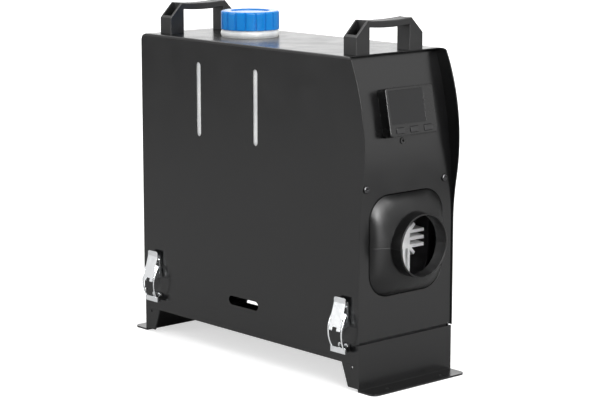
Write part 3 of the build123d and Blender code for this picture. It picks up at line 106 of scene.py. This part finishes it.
class HeaterSizes(bpy.types.PropertyGroup):
    """Grains, roundings, roughness and the sizes of the outlet hood"""

    peel: length("Orange peel", "Width of the ripples in the powder coat", 0.0016)
    grain: length("Moulded grain", "Width of the grain on black plastic", 0.00045)
    cast_grain: length("Cast grain", "Width of the grain on castings", 0.0009)
    edge: length("Edge rounding", "Radius that light finds on sheet and plastic edges", 0.0007)
    metal_edge: length("Metal edge", "The same on latches and panel screws", 0.0003)
    cap_edge: length("Cap edge", "The same on the filler cap", 0.0011)
    hood_corner: length("Hood corner", "Corner radius of the hood's rounded square", 0.029)
    hood_bow: length("Hood bow", "Swell of the slope between the square and the collar", 0.0017)
    hood_edge: length("Hood edge", "More swell of the slope, near the square", 0.0011)
    hood_rise: length("Hood rise", "From the panel out to the collar", 0.0136)
    hood_wall: length("Hood wall", "Wall of the hood and of its collar", 0.0025)
    collar_radius: length("Collar radius", "Outside of the round collar", 0.0375)
    collar_length: length("Collar length", "Straight part of the collar", 0.016)
    coat_roughness: factor("Coat roughness", "Roughness of the powder coat", 0.24)
    plastic_roughness: factor("Plastic roughness", "Roughness of the black nylon", 0.36)


class HeaterStage(bpy.types.PropertyGroup):
    """Floor, overhead lamp and camera"""

    floor_size: length("Floor", "Side of the floor", 16.0)
    floor: colour("Floor colour", "Pale floor", (0.66, 0.66, 0.66))
    floor_lift: factor("Floor lift", "Light that the floor adds near the heater", 0.6)
    near: length("Floor lift starts", "Distance at which the floor turns to plain white", 0.6)
    far: length("Floor lift ends", "Distance from which the floor is plain white", 1.8)
    lamp_size: length("Overhead lamp", "Side of the soft lamp above the heater", 1.4)
    distance: length("Camera distance", "From the camera to its target", 2.4010)
    azimuth: FloatProperty(name="Camera azimuth", description="Round the heater, from its side",
                           default=math.radians(48.23), subtype="ANGLE", unit="ROTATION")
    elevation: FloatProperty(name="Camera elevation", description="Above the horizon",
                             default=math.radians(10.26), subtype="ANGLE", unit="ROTATION")
    target: FloatVectorProperty(name="Camera target", description="Point that the camera faces",
                                default=(0.01422, 0.0, 0.18959), size=3,
                                subtype="TRANSLATION", unit="LENGTH")
    lens: FloatProperty(name="Lens", description="Focal length of the camera", default=118.36,
                        subtype="DISTANCE_CAMERA", unit="CAMERA")
    rays: IntProperty(name="Edge samples", description="Samples of the edge rounding", default=4,
                      min=2, max=16)


# ---- Materials ----
NOISE_RANGE = (0.3, 0.7)       # holds most values of a noise texture
PARTING_HALF = 0.0005          # half the width of the hood's parting line
PARTING_HEIGHT = 0.00025


def fade(tree, value, start, end, low, high):
    """`low` below start and `high` above end, with a smooth step between them."""
    step = tree.nodes.new("ShaderNodeMapRange")
    step.interpolation_type = "SMOOTHSTEP"
    for name, number in (("From Min", start), ("From Max", end), ("To Min", low),
                         ("To Max", high)):
        step.inputs[name].default_value = number
    tree.links.new(value, step.inputs["Value"])
    return step.outputs["Result"]


class Finish:
    """One node material, built up step by step in the object's own metres."""

    def __init__(self, name, base, roughness, metallic=0.0):
        self.material = bpy.data.materials.new(name)
        self.material.use_nodes = True
        self.tree = self.material.node_tree
        self.shader = self.tree.nodes["Principled BSDF"]
        self.shader.inputs["Base Color"].default_value = (*base, 1.0)
        self.shader.inputs["Roughness"].default_value = roughness
        self.shader.inputs["Metallic"].default_value = metallic
        self.base = base
        self.roughness = roughness
        self.place = self.node("ShaderNodeTexCoord").outputs["Object"]
        self.normal = None

    def node(self, kind, **values):
        made = self.tree.nodes.new(kind)
        for key, value in values.items():
            setattr(made, key, value)
        return made

    def link(self, out, into):
        self.tree.links.new(out, into)

    def noise(self, width, detail=3.0, stretch=(1.0, 1.0, 1.0)):
        """Noise with bumps about `width` metres across."""
        scaled = self.node("ShaderNodeMapping")
        scaled.inputs["Scale"].default_value = stretch
        self.link(self.place, scaled.inputs["Vector"])
        noise = self.node("ShaderNodeTexNoise")
        noise.inputs["Scale"].default_value = 1.0 / width
        noise.inputs["Detail"].default_value = detail
        self.link(scaled.outputs["Vector"], noise.inputs["Vector"])
        return noise.outputs["Fac"]

    def spread(self, value, low, high):
        """Noise around the middle of 0..1, spread to low..high."""
        ranged = self.node("ShaderNodeMapRange")
        ranged.inputs["From Min"].default_value = NOISE_RANGE[0]
        ranged.inputs["From Max"].default_value = NOISE_RANGE[1]
        ranged.inputs["To Min"].default_value = low
        ranged.inputs["To Max"].default_value = high
        self.link(value, ranged.inputs["Value"])
        return ranged.outputs["Result"]

    def mottle(self, width, share):
        """Lets the roughness wander by `share` of itself."""
        low, high = self.roughness * (1 - share), self.roughness * (1 + share)
        self.link(self.spread(self.noise(width), low, high), self.shader.inputs["Roughness"])
        return self

    def tint(self, width, other, detail=4.0, stretch=(1.0, 1.0, 1.0), into=(0.0, 1.0)):
        """Clouds of another colour."""
        mix = self.node("ShaderNodeMix", data_type="RGBA")
        mix.inputs["A"].default_value = (*self.base, 1.0)
        mix.inputs["B"].default_value = (*other, 1.0)
        clouds = self.spread(self.noise(width, detail, stretch), *into)
        self.link(clouds, mix.inputs["Factor"])
        self.link(mix.outputs["Result"], self.shader.inputs["Base Color"])
        return self

    def rounded(self, radius, samples):
        """Light finds a small radius on every edge."""
        bevel = self.node("ShaderNodeBevel", samples=samples)
        bevel.inputs["Radius"].default_value = radius
        self.normal = bevel.outputs["Normal"]
        self.link(self.normal, self.shader.inputs["Normal"])
        return self

    def bump(self, height, depth):
        """Raises the surface by up to `depth` metres where `height` is 1."""
        bump = self.node("ShaderNodeBump")
        bump.inputs["Strength"].default_value = 1.0
        bump.inputs["Distance"].default_value = depth
        self.link(height, bump.inputs["Height"])
        if self.normal:
            self.link(self.normal, bump.inputs["Normal"])
        self.normal = bump.outputs["Normal"]
        self.link(self.normal, self.shader.inputs["Normal"])
        return self

    def set(self, **values):
        """Sets sockets of the shader; an underscore stands for a space."""
        for name, value in values.items():
            self.shader.inputs[name.replace("_", " ")].default_value = value
        return self


def powder_coat():
    """Satin-gloss black powder coat with a faint orange peel."""
    colours, sizes = bpy.context.scene.heater_colours, bpy.context.scene.heater_sizes
    stage = bpy.context.scene.heater_stage
    finish = Finish("powder_coat", tuple(colours.case), sizes.coat_roughness)
    finish.mottle(width=0.03, share=0.12)
    finish.rounded(sizes.edge, stage.rays)
    finish.bump(finish.noise(width=0.055, detail=1.0), depth=0.00022)
    finish.bump(finish.noise(sizes.peel, detail=2.0), depth=0.000012)
    return finish.material


def inner_paint():
    """Duller black paint with a rougher peel."""
    colours, sizes = bpy.context.scene.heater_colours, bpy.context.scene.heater_sizes
    finish = Finish("inner_paint", tuple(colours.inner), roughness=0.42)
    finish.mottle(width=0.02, share=0.15)
    finish.bump(finish.noise(sizes.peel, detail=2.0), depth=0.00003)
    return finish.material


def black_plastic(name, base, roughness, grain_depth=0.00003):
    """Moulded black plastic with a fine eroded grain."""
    sizes, stage = bpy.context.scene.heater_sizes, bpy.context.scene.heater_stage
    finish = Finish(name, tuple(base), roughness)
    finish.mottle(width=0.012, share=0.14)
    finish.rounded(sizes.edge, stage.rays)
    finish.bump(finish.noise(sizes.grain, detail=2.0), grain_depth)
    return finish


def duct_plastic():
    """Nylon of the hood, with the mould's parting line at the height of its axis."""
    colours, sizes = bpy.context.scene.heater_colours, bpy.context.scene.heater_sizes
    finish = black_plastic("duct_nylon", colours.duct, sizes.plastic_roughness,
                           grain_depth=0.00007)
    low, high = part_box("outlet_hood")
    middle = (low[2] + high[2]) / 2
    axes = finish.node("ShaderNodeSeparateXYZ")
    finish.link(finish.place, axes.inputs["Vector"])
    away = finish.node("ShaderNodeMath", operation="SUBTRACT")
    away.inputs[1].default_value = middle
    finish.link(axes.outputs["Z"], away.inputs[0])
    gap = finish.node("ShaderNodeMath", operation="ABSOLUTE")
    finish.link(away.outputs["Value"], gap.inputs[0])
    ridge = fade(finish.tree, gap.outputs["Value"], 0.0, PARTING_HALF, 1.0, 0.0)
    finish.bump(ridge, PARTING_HEIGHT)
    finish.set(Specular_IOR_Level=0.34)
    return finish.material


def cast_metal(name, base, roughness):
    """Cast metal with darker clouds and a sandy grain."""
    sizes = bpy.context.scene.heater_sizes
    finish = Finish(name, tuple(base), roughness, metallic=0.45)
    finish.tint(width=0.009, other=darker(base, 0.82), into=(0.0, 0.7))
    finish.mottle(width=0.004, share=0.2)
    finish.bump(finish.noise(sizes.cast_grain, detail=4.0), depth=0.00008)
    return finish.material


def bright_zinc():
    """Bright zinc plating: faint clouds, and light on the folded edges."""
    colours, sizes = bpy.context.scene.heater_colours, bpy.context.scene.heater_sizes
    stage = bpy.context.scene.heater_stage
    finish = Finish("bright_zinc", tuple(colours.zinc), roughness=0.2, metallic=1.0)
    finish.tint(width=0.006, other=darker(colours.zinc, 0.88), into=(0.0, 0.8))
    finish.mottle(width=0.003, share=0.3)
    finish.rounded(sizes.metal_edge, stage.rays)
    finish.bump(finish.noise(width=0.0011, detail=3.0), depth=0.00001)
    return finish.material


def steel(name, base, roughness):
    """Plain metal with faint darker clouds."""
    finish = Finish(name, tuple(base), roughness, metallic=1.0)
    finish.tint(width=0.004, other=darker(base, 0.8), into=(0.0, 0.6))
    finish.mottle(width=0.002, share=0.2)
    return finish.material


def tank_plastic():
    """Milky polyethylene that lets some light into its skin."""
    colours = bpy.context.scene.heater_colours
    finish = Finish("tank_polyethylene", tuple(colours.tank), roughness=0.34)
    finish.tint(width=0.018, other=tuple(colours.tank_cloud), stretch=(1.0, 1.0, 0.45),
                into=(-0.5, 0.8))
    finish.set(Subsurface_Weight=0.35, Subsurface_Scale=0.006)
    finish.shader.inputs["Subsurface Radius"].default_value = (1.0, 1.0, 0.9)
    finish.bump(finish.noise(width=0.006, detail=2.0), depth=0.0002)
    return finish.material


def cap_plastic():
    """Glossy blue plastic with light scuffs."""
    colours, sizes = bpy.context.scene.heater_colours, bpy.context.scene.heater_sizes
    finish = Finish("cap_blue", tuple(colours.cap), roughness=0.16)
    finish.tint(width=0.01, other=tuple(colours.cap_scuff), into=(0.0, 0.7))
    finish.mottle(width=0.003, share=0.25)
    finish.rounded(sizes.cap_edge, bpy.context.scene.heater_stage.rays)
    finish.bump(finish.noise(width=0.0014, detail=2.0), depth=0.00001)
    finish.set(Specular_IOR_Level=0.38)
    return finish.material


def screen_window():
    """Dark display window over a dim panel."""
    colours = bpy.context.scene.heater_colours
    finish = Finish("display_window", tuple(colours.screen), roughness=0.2)
    finish.tint(width=0.02, other=tuple(colours.screen_panel), into=(0.0, 0.6))
    finish.mottle(width=0.01, share=0.2)
    finish.set(Specular_IOR_Level=0.36)
    return finish.material


def rubber():
    """Dull black rubber."""
    colours = bpy.context.scene.heater_colours
    finish = Finish("rubber", tuple(colours.rubber), roughness=0.6)
    finish.mottle(width=0.004, share=0.15)
    finish.bump(finish.noise(width=0.0006, detail=3.0), depth=0.00004)
    return finish.material


def darker(base, share):
    """A colour at a share of its strength."""
    return tuple(share * value for value in base)


def dress(material, *nodes):
    """Gives CAD nodes their finish."""
    for node in nodes:
        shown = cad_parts[node]
        shown.data.materials.clear()
        shown.data.materials.append(material)


def corner_names():
    """Names of the four latches, from the end and the side of the case that they are on."""
    return [end + "_" + side for end in ("front", "rear") for side in ("right", "left")]


# ---- Meshes ----
HOOD_POINTS = 160              # round the hood
OUTER_STEPS, INNER_STEPS = 14, 6
BOW_PEAK, EDGE_PEAK = 4, 6.75  # bring the peak of each swell to its own size
SHOULDER = 0.0012              # the slope ends this far outside the collar
BORE_EXTRA = 0.0003            # the bore is this much wider than the wall leaves it
GRIP_SHORT = 0.001             # the grip ends this far behind the front of the casing
GRIP_FIT = 0.0002              # between the casing and the grip round it
GRIP_CORNER = 0.0302           # corner radius of the grip
RIM, RIM_CHAMFER = 0.0005, 0.00015  # rounding of the collar's rim, in two steps

FLANGE_POINTS, FLANGE_STEPS = 128, 12
FLANGE_BELOW = 0.0004          # between the top of the case and the flange
FLANGE_ABOVE = 0.0012          # between the flange and the cap
FLANGE_INSIDE = 0.0340         # radius of the inner wall, hidden within the neck's collar
FLANGE_EDGE = 0.0338           # the rounding starts and ends 0.2 mm inside that wall
FLANGE_SWELL = 0.0024
FLANGE_FULLNESS = 0.7          # below 1, for a rounding fuller than half a circle


def rounded_square(half, corner, angle):
    """Distance from the middle of a rounded square to its outline."""
    across, up = abs(math.cos(angle)), abs(math.sin(angle))
    inset = half - corner
    straight = half / max(across, up)
    if straight * min(across, up) <= inset:
        return straight
    along = inset * (across + up)
    return along + math.sqrt(along ** 2 - 2 * inset ** 2 + corner ** 2)


def slope(outer, inner, start, rise, bow, edge, steps):
    """Rows from a rounded square out to a ring: `bow` swells half-way, `edge` nearer the square."""
    rows = []
    for step in range(steps + 1):
        share = step / steps
        swell = (BOW_PEAK * bow + EDGE_PEAK * edge * (1 - share)) * share * (1 - share)
        row = []
        for far in outer:
            slant = math.hypot(far - inner, rise)
            row.append((start + rise * share + swell * (far - inner) / slant,
                        far + (inner - far) * share + swell * rise / slant))
        rows.append(row)
    return rows


def lying(height):
    """Places a turned mesh along X, with its axis at a height."""
    return lambda along, far, angle: (along, far * math.cos(angle),
                                      height + far * math.sin(angle))


def standing(x, y):
    """Places a turned mesh along Z, with its axis at x, y."""
    return lambda along, far, angle: (x + far * math.cos(angle), y + far * math.sin(angle),
                                      along)


def linked_object(name, mesh):
    """Turns a bmesh into an object of the scene."""
    data = bpy.data.meshes.new(name)
    mesh.to_mesh(data)
    mesh.free()
    made = bpy.data.objects.new(name, data)
    bpy.context.scene.collection.objects.link(made)
    return made


def turned_mesh(name, rows, angles, place, sharp):
    """Closed mesh through rows of (along, distance from the axis); `sharp` rows keep an edge."""
    mesh = bmesh.new()
    rings = [[mesh.verts.new(place(along, far, angle))
              for (along, far), angle in zip(row, angles)] for row in rows]
    count = len(angles)
    for ring, following in zip(rings, rings[1:] + rings[:1]):
        for at in range(count):
            corners = (ring[at], following[at], following[(at + 1) % count],
                       ring[(at + 1) % count])
            mesh.faces.new(corners).smooth = True
    for number in sharp:
        for at in range(count):
            ends = (rings[number][at], rings[number][(at + 1) % count])
            mesh.edges.get(ends).smooth = False
    bmesh.ops.recalc_face_normals(mesh, faces=mesh.faces)
    return linked_object(name, mesh)


def hood_piece():
    """The hood with its slope bowed as moulded: steep at the panel and shallow at the collar."""
    sizes = bpy.context.scene.heater_sizes
    low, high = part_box("outlet_hood")
    casing_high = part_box("lower_casing")[1]
    half, height = (high[1] - low[1]) / 2, (low[2] + high[2]) / 2
    ring_x = high[0] - sizes.collar_length
    panel_x = ring_x - sizes.hood_rise
    grip_x = casing_high[0] - GRIP_SHORT
    radius = sizes.collar_radius
    bore = radius - sizes.hood_wall + BORE_EXTRA
    angles = [math.tau * (at + 0.5) / HOOD_POINTS for at in range(HOOD_POINTS)]

    def square(size, corner):
        return [rounded_square(size, corner, angle) for angle in angles]

    def flat(x, outline):
        return [(x, far) for far in outline]

    def ring(x, far):
        return [(x, far)] * len(angles)

    outside = square(half, sizes.hood_corner)
    inside = square(half - sizes.hood_wall, sizes.hood_corner - sizes.hood_wall)
    fit = square(casing_high[1] + GRIP_FIT, GRIP_CORNER)
    outer_slope = slope(outside, radius + SHOULDER, panel_x, sizes.hood_rise, sizes.hood_bow,
                        sizes.hood_edge, OUTER_STEPS)
    inner_slope = slope(inside, bore, panel_x, sizes.hood_rise, 0.0, 0.0, INNER_STEPS)
    rim = [ring(high[0] - RIM, radius), ring(high[0] - RIM_CHAMFER, radius - RIM_CHAMFER),
           ring(high[0], radius - RIM), ring(high[0], bore + RIM),
           ring(high[0] - RIM_CHAMFER, bore + RIM_CHAMFER), ring(high[0] - RIM, bore)]
    bands = ([flat(low[0], outside)], outer_slope, [ring(ring_x, radius)], rim,
             inner_slope[::-1], [flat(grip_x, inside)], [flat(grip_x, fit), flat(low[0], fit)])
    rows, sharp = [], set()
    for band in bands:
        sharp.update((len(rows), len(rows) + len(band) - 1))
        rows += band
    return turned_mesh("bowed_hood", rows, angles, lying(height), sharp)


def neck_ring():
    """Rounded flange of the filler neck, on the top of the case under the cap."""
    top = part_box("upper_shell")[1][2]
    cap_low, cap_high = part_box("filler_cap")
    low, high = top + FLANGE_BELOW, cap_low[2] - FLANGE_ABOVE
    middle, half = (low + high) / 2, (high - low) / 2
    angles = [math.tau * at / FLANGE_POINTS for at in range(FLANGE_POINTS)]
    outline = [(high, FLANGE_INSIDE), (low, FLANGE_INSIDE)]
    for step in range(FLANGE_STEPS + 1):
        turn = math.pi * step / FLANGE_STEPS
        swell = FLANGE_SWELL * math.sin(turn) ** FLANGE_FULLNESS
        outline.append((middle - half * math.cos(turn), FLANGE_EDGE + swell))
    rows = [[point] * len(angles) for point in outline]
    centre = ((cap_low[0] + cap_high[0]) / 2, (cap_low[1] + cap_high[1]) / 2)
    return turned_mesh("neck_flange", rows, angles, standing(*centre), sharp=(0, 1))


# ---- Operators: one for each piece or group of like pieces ----
class HEATER_OT_case(bpy.types.Operator):
    """Powder-coat the case, its panels, the tray and the feet"""

    bl_idname = "heater.case"
    bl_label = "Case"

    def execute(self, context):
        dress(powder_coat(), "upper_shell", "front_panel", "rear_panel", "base_tray",
              "front_foot", "rear_foot")
        return {"FINISHED"}


class HEATER_OT_inner_frame(bpy.types.Operator):
    """Paint the bulkheads, the tank shelf and the cradle"""

    bl_idname = "heater.inner_frame"
    bl_label = "Inner frame"

    def execute(self, context):
        dress(inner_paint(), "front_bulkhead", "rear_bulkhead", "tank_shelf", "heater_cradle")
        return {"FINISHED"}


class HEATER_OT_handles(bpy.types.Operator):
    """Finish the carry handles, their screws and the nuts of the cradle"""

    bl_idname = "heater.handles"
    bl_label = "Handles"

    def execute(self, context):
        colours = context.scene.heater_colours
        nylon = black_plastic("handle_nylon", colours.handle, roughness=0.4)
        dress(nylon.material, "front_handle", "rear_handle")
        zinc = steel("screw_zinc", colours.screw, roughness=0.3)
        dress(zinc, "handle_screws", "cradle_nuts")
        return {"FINISHED"}


class HEATER_OT_screws(bpy.types.Operator):
    """Blacken the button-head screws of the panels"""

    bl_idname = "heater.screws"
    bl_label = "Panel screws"

    def execute(self, context):
        scene = context.scene
        finish = Finish("black_zinc", tuple(scene.heater_colours.panel_screw), roughness=0.2,
                        metallic=1.0)
        finish.mottle(width=0.002, share=0.25)
        finish.rounded(scene.heater_sizes.metal_edge, scene.heater_stage.rays)
        dress(finish.material, "panel_screws")
        return {"FINISHED"}


class HEATER_OT_tank(bpy.types.Operator):
    """Finish the fuel tank and build the rounded flange round its neck"""

    bl_idname = "heater.tank"
    bl_label = "Fuel tank"

    def execute(self, context):
        milky = tank_plastic()
        dress(milky, "fuel_tank")
        flange = neck_ring()
        flange.data.materials.append(milky)
        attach(flange, "case")
        return {"FINISHED"}


class HEATER_OT_cap(bpy.types.Operator):
    """Finish the filler cap"""

    bl_idname = "heater.cap"
    bl_label = "Filler cap"

    def execute(self, context):
        dress(cap_plastic(), "filler_cap")
        return {"FINISHED"}


class HEATER_OT_controller(bpy.types.Operator):
    """Finish the controller, its window and its keys"""

    bl_idname = "heater.controller"
    bl_label = "Controller"

    def execute(self, context):
        colours = context.scene.heater_colours
        case = black_plastic("controller_plastic", colours.controller, roughness=0.26,
                             grain_depth=0.00001)
        key = black_plastic("key_plastic", colours.button, roughness=0.34, grain_depth=0.00001)
        board = Finish("circuit_board", tuple(colours.board), roughness=0.4)
        board.mottle(width=0.003, share=0.2)
        dress(case.material, "controller_case")
        dress(board.material, "controller_back")
        dress(screen_window(), "controller_screen")
        dress(key.material, "button_left", "button_middle", "button_right")
        return {"FINISHED"}


class HEATER_OT_rubber(bpy.types.Operator):
    """Finish the seal, the grommet, the pump's saddle, the gasket and the hoses"""

    bl_idname = "heater.rubber"
    bl_label = "Rubber pieces"

    def execute(self, context):
        dress(rubber(), "cap_seal", "cable_grommet", "pump_clamp", "feed_hose", "pump_hose",
              "heater_hose", "mount_gasket")
        return {"FINISHED"}


class HEATER_OT_outlet(bpy.types.Operator):
    """Build the warm-air hood with its bowed slope and its collar"""

    bl_idname = "heater.outlet"
    bl_label = "Warm-air outlet"

    def execute(self, context):
        hood = hood_piece()
        hood.data.materials.append(duct_plastic())
        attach(hood, "case")
        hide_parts("outlet_hood")
        return {"FINISHED"}


class HEATER_OT_casing(bpy.types.Operator):
    """Finish the heater's casing, the intake, the gland, the electronics box and the fan"""

    bl_idname = "heater.casing"
    bl_label = "Casing and intake"

    def execute(self, context):
        colours = context.scene.heater_colours
        plastic = black_plastic("casing_plastic", colours.casing, roughness=0.42)
        dress(plastic.material, "lower_casing", "upper_casing", "inlet_cowl", "inlet_grille",
              "power_gland", "control_unit", "fan_wheel")
        return {"FINISHED"}


class HEATER_OT_heater(bpy.types.Operator):
    """Finish the heat exchanger, the burner, the blower, the fuel pump and its filter"""

    bl_idname = "heater.heater"
    bl_label = "Heater"

    def execute(self, context):
        colours = context.scene.heater_colours
        cast = cast_metal("cast_aluminium", colours.aluminium, roughness=0.55)
        dress(cast, "heat_exchanger", "blower_housing", "combustion_impeller")
        dress(steel("burner_steel", colours.burner, roughness=0.38), "combustion_chamber")
        dress(steel("plug_steel", colours.steel, roughness=0.28), "glow_plug", "rotor_shaft",
              "fuel_pump")
        dress(steel("bush_bronze", colours.bronze, roughness=0.36), "motor_bushes")
        motor = Finish("motor_paint", tuple(colours.motor), roughness=0.4)
        dress(motor.mottle(width=0.006, share=0.15).material, "blower_motor")
        bowl = Finish("filter_nylon", tuple(colours.filter), roughness=0.25)
        dress(bowl.mottle(width=0.004, share=0.2).material, "fuel_filter")
        return {"FINISHED"}


class HEATER_OT_latches(bpy.types.Operator):
    """Plate the four draw latches; their keepers have the coat of the case"""

    bl_idname = "heater.latches"
    bl_label = "Latches"

    def execute(self, context):
        zinc = bright_zinc()
        dress(zinc, "latch_bases", "latch_pins", "latch_rivets")
        dress(bpy.data.materials["powder_coat"], "latch_keepers")
        for corner in corner_names():
            dress(zinc, "latch_lever_" + corner, "latch_bail_" + corner)
        return {"FINISHED"}


class HEATER_OT_stage(bpy.types.Operator):
    """Set the floor, the soft lamps, the world and the camera"""

    bl_idname = "heater.stage"
    bl_label = "Stage"

    def execute(self, context):
        pale_floor()
        soft_lamps()
        white_world()
        set_camera()
        context.scene.view_settings.view_transform = "Standard"
        return {"FINISHED"}


# ---- Stage ----
SENSOR_WIDTH = 36.0            # of the camera, in millimetres
MIDDLE = (0.0, 0.0, 0.2)       # of the heater

# The lamps besides the overhead one: place, point that it faces, side and power in watts.
SIDE_LAMPS = {
    "left": ((-1.05, -2.45, 0.95), MIDDLE, 1.2, 20.0),
    "right": ((1.35, 0.35, 1.3), (0.85, 0.5, 0.0), 0.8, 16.0),
    "front": ((1.94, -0.66, 0.9), (0.2, 0.0, 0.165), 0.6, 17.0),
}
OVERHEAD_PLACE, OVERHEAD_POWER = (-0.8, -0.5, 2.2), 15.0

# The world lights matt faces evenly. Mirrors see the sum of these zones, up to 21 where the two
# bright ones overlap: direction, strength outside and inside, and the cosines of the angles at
# which the zone begins and is full.
DIFFUSE_WORLD, SEEN_WORLD = 0.45, 1.0
MIRRORED_ZONES = (
    ((-0.73, 0.66, 0.17), 0.7, 1.6, 0.55, 0.95),       # behind the heater
    ((0.74, 0.66, -0.1), 0.0, 0.7, 0.6, 0.95),         # in front, on the far side
    ((-0.73, -0.62, 0.28), 0.0, 0.2, 0.85, 0.95),      # behind, on the near side
    ((0.73, -0.66, 0.1), 0.0, -0.6, 0.7, 0.95),        # dark, round the camera
    ((0.78, -0.34, 0.53), 0.0, 12.0, 0.91, 0.98),      # highlight of the hood
    ((0.94, -0.29, 0.2), 0.0, 9.0, 0.965, 0.992),      # lines on the front edges
    ((-0.1, 0.99, 0.1), 0.0, -0.7, 0.75, 0.95),        # dark, on the far side
)


def pale_floor():
    """Floor that turns to plain white for the camera, away from the heater."""
    stage = bpy.context.scene.heater_stage
    half = stage.floor_size / 2
    mesh = bmesh.new()
    corners = [mesh.verts.new((x, y, 0.0)) for x, y in
               ((-half, -half), (half, -half), (half, half), (-half, half))]
    mesh.faces.new(corners)
    floor = linked_object("floor", mesh)
    finish = Finish("pale_floor", tuple(stage.floor), roughness=0.7)
    finish.set(Specular_IOR_Level=0.2)
    finish.shader.inputs["Emission Color"].default_value = (1.0, 1.0, 1.0, 1.0)
    away = finish.node("ShaderNodeVectorMath", operation="LENGTH")
    finish.link(finish.place, away.inputs[0])
    rise = fade(finish.tree, away.outputs["Value"], stage.near, stage.far, stage.floor_lift, 1.0)
    lift = finish.node("ShaderNodeMath", operation="MULTIPLY")
    finish.link(rise, lift.inputs[0])
    path = finish.node("ShaderNodeLightPath")
    finish.link(path.outputs["Is Camera Ray"], lift.inputs[1])
    finish.link(lift.outputs["Value"], finish.shader.inputs["Emission Strength"])
    floor.data.materials.append(finish.material)


def lamp(name, place, aim, size, power):
    """Square lamp at a place, turned to face a point."""
    data = bpy.data.lights.new(name, "AREA")
    data.shape = "SQUARE"
    data.size = size
    data.energy = power
    made = bpy.data.objects.new(name, data)
    bpy.context.scene.collection.objects.link(made)
    made.location = place
    made.rotation_euler = (Vector(aim) - Vector(place)).to_track_quat("-Z", "Y").to_euler()


def soft_lamps():
    """The overhead lamp, with the size that a user sets, and the side lamps."""
    size = bpy.context.scene.heater_stage.lamp_size
    lamp("overhead", OVERHEAD_PLACE, MIDDLE, size, OVERHEAD_POWER)
    for name, (place, aim, side, power) in SIDE_LAMPS.items():
        lamp(name, place, aim, side, power)


def white_world():
    """White for the camera, even for matt faces; mirrors see bright and dark zones in it."""
    world = bpy.data.worlds.new("studio")
    world.use_nodes = True
    bpy.context.scene.world = world
    tree = world.node_tree
    back = tree.nodes["Background"]
    back.inputs["Color"].default_value = (1.0, 1.0, 1.0, 1.0)
    place = tree.nodes.new("ShaderNodeTexCoord")
    level = None
    for toward, low, high, start, end in MIRRORED_ZONES:
        along = tree.nodes.new("ShaderNodeVectorMath")
        along.operation = "DOT_PRODUCT"
        along.inputs[1].default_value = toward
        tree.links.new(place.outputs["Generated"], along.inputs[0])
        glow = fade(tree, along.outputs["Value"], start, end, low, high)
        if level is None:
            level = glow
        else:
            total = tree.nodes.new("ShaderNodeMath")
            tree.links.new(level, total.inputs[0])
            tree.links.new(glow, total.inputs[1])
            level = total.outputs["Value"]
    path = tree.nodes.new("ShaderNodeLightPath")
    strength = mixed(tree, path.outputs["Is Glossy Ray"], DIFFUSE_WORLD, level)
    strength = mixed(tree, path.outputs["Is Camera Ray"], strength, SEEN_WORLD)
    tree.links.new(strength, back.inputs["Strength"])


def mixed(tree, factor, first, second):
    """`first` where the factor is 0 and `second` where it is 1."""
    mix = tree.nodes.new("ShaderNodeMix")
    tree.links.new(factor, mix.inputs["Factor"])
    for socket, value in ((mix.inputs["A"], first), (mix.inputs["B"], second)):
        if isinstance(value, float):
            socket.default_value = value
        else:
            tree.links.new(value, socket)
    return mix.outputs["Result"]


def set_camera():
    """Camera that faces its target from the distance and the angles of the stage."""
    stage = bpy.context.scene.heater_stage
    flat = stage.distance * math.cos(stage.elevation)
    away = Vector((flat * math.sin(stage.azimuth), -flat * math.cos(stage.azimuth),
                   stage.distance * math.sin(stage.elevation)))
    data = bpy.data.cameras.new("camera")
    data.lens = stage.lens
    data.sensor_width = SENSOR_WIDTH
    camera = bpy.data.objects.new("camera", data)
    bpy.context.scene.collection.objects.link(camera)
    camera.location = Vector(stage.target) + away
    camera.rotation_euler = (-away).to_track_quat("-Z", "Y").to_euler()
    bpy.context.scene.camera = camera


# ---- Panel and registration ----
STEPS = (HEATER_OT_case, HEATER_OT_inner_frame, HEATER_OT_handles, HEATER_OT_screws,
         HEATER_OT_tank, HEATER_OT_cap, HEATER_OT_controller, HEATER_OT_rubber,
         HEATER_OT_outlet, HEATER_OT_casing, HEATER_OT_heater, HEATER_OT_latches,
         HEATER_OT_stage)


class HEATER_PT_pieces(bpy.types.Panel):
    """Lists the heater's pieces and its stage"""

    bl_idname = "HEATER_PT_pieces"
    bl_label = "Diesel air heater"
    bl_space_type = "VIEW_3D"
    bl_region_type = "UI"
    bl_category = "Heater"

    def draw(self, context):
        for step in STEPS:
            self.layout.operator(step.bl_idname)


GROUPS = (("heater_colours", HeaterColours), ("heater_sizes", HeaterSizes),
          ("heater_stage", HeaterStage))


def register():
    """Adds the properties, the operators and the panel."""
    for name, group in GROUPS:
        bpy.utils.register_class(group)
        setattr(bpy.types.Scene, name, PointerProperty(type=group))
    for step in STEPS:
        bpy.utils.register_class(step)
    bpy.utils.register_class(HEATER_PT_pieces)


def unregister():
    """Removes them in the opposite order."""
    bpy.utils.unregister_class(HEATER_PT_pieces)
    for step in reversed(STEPS):
        bpy.utils.unregister_class(step)
    for name, group in reversed(GROUPS):
        delattr(bpy.types.Scene, name)
        bpy.utils.unregister_class(group)


def main():
    """Builds the pieces in order."""
    register()
    for step in STEPS:
        group, name = step.bl_idname.split(".")
        getattr(getattr(bpy.ops, group), name)()


if __name__ == "__main__":
    main()
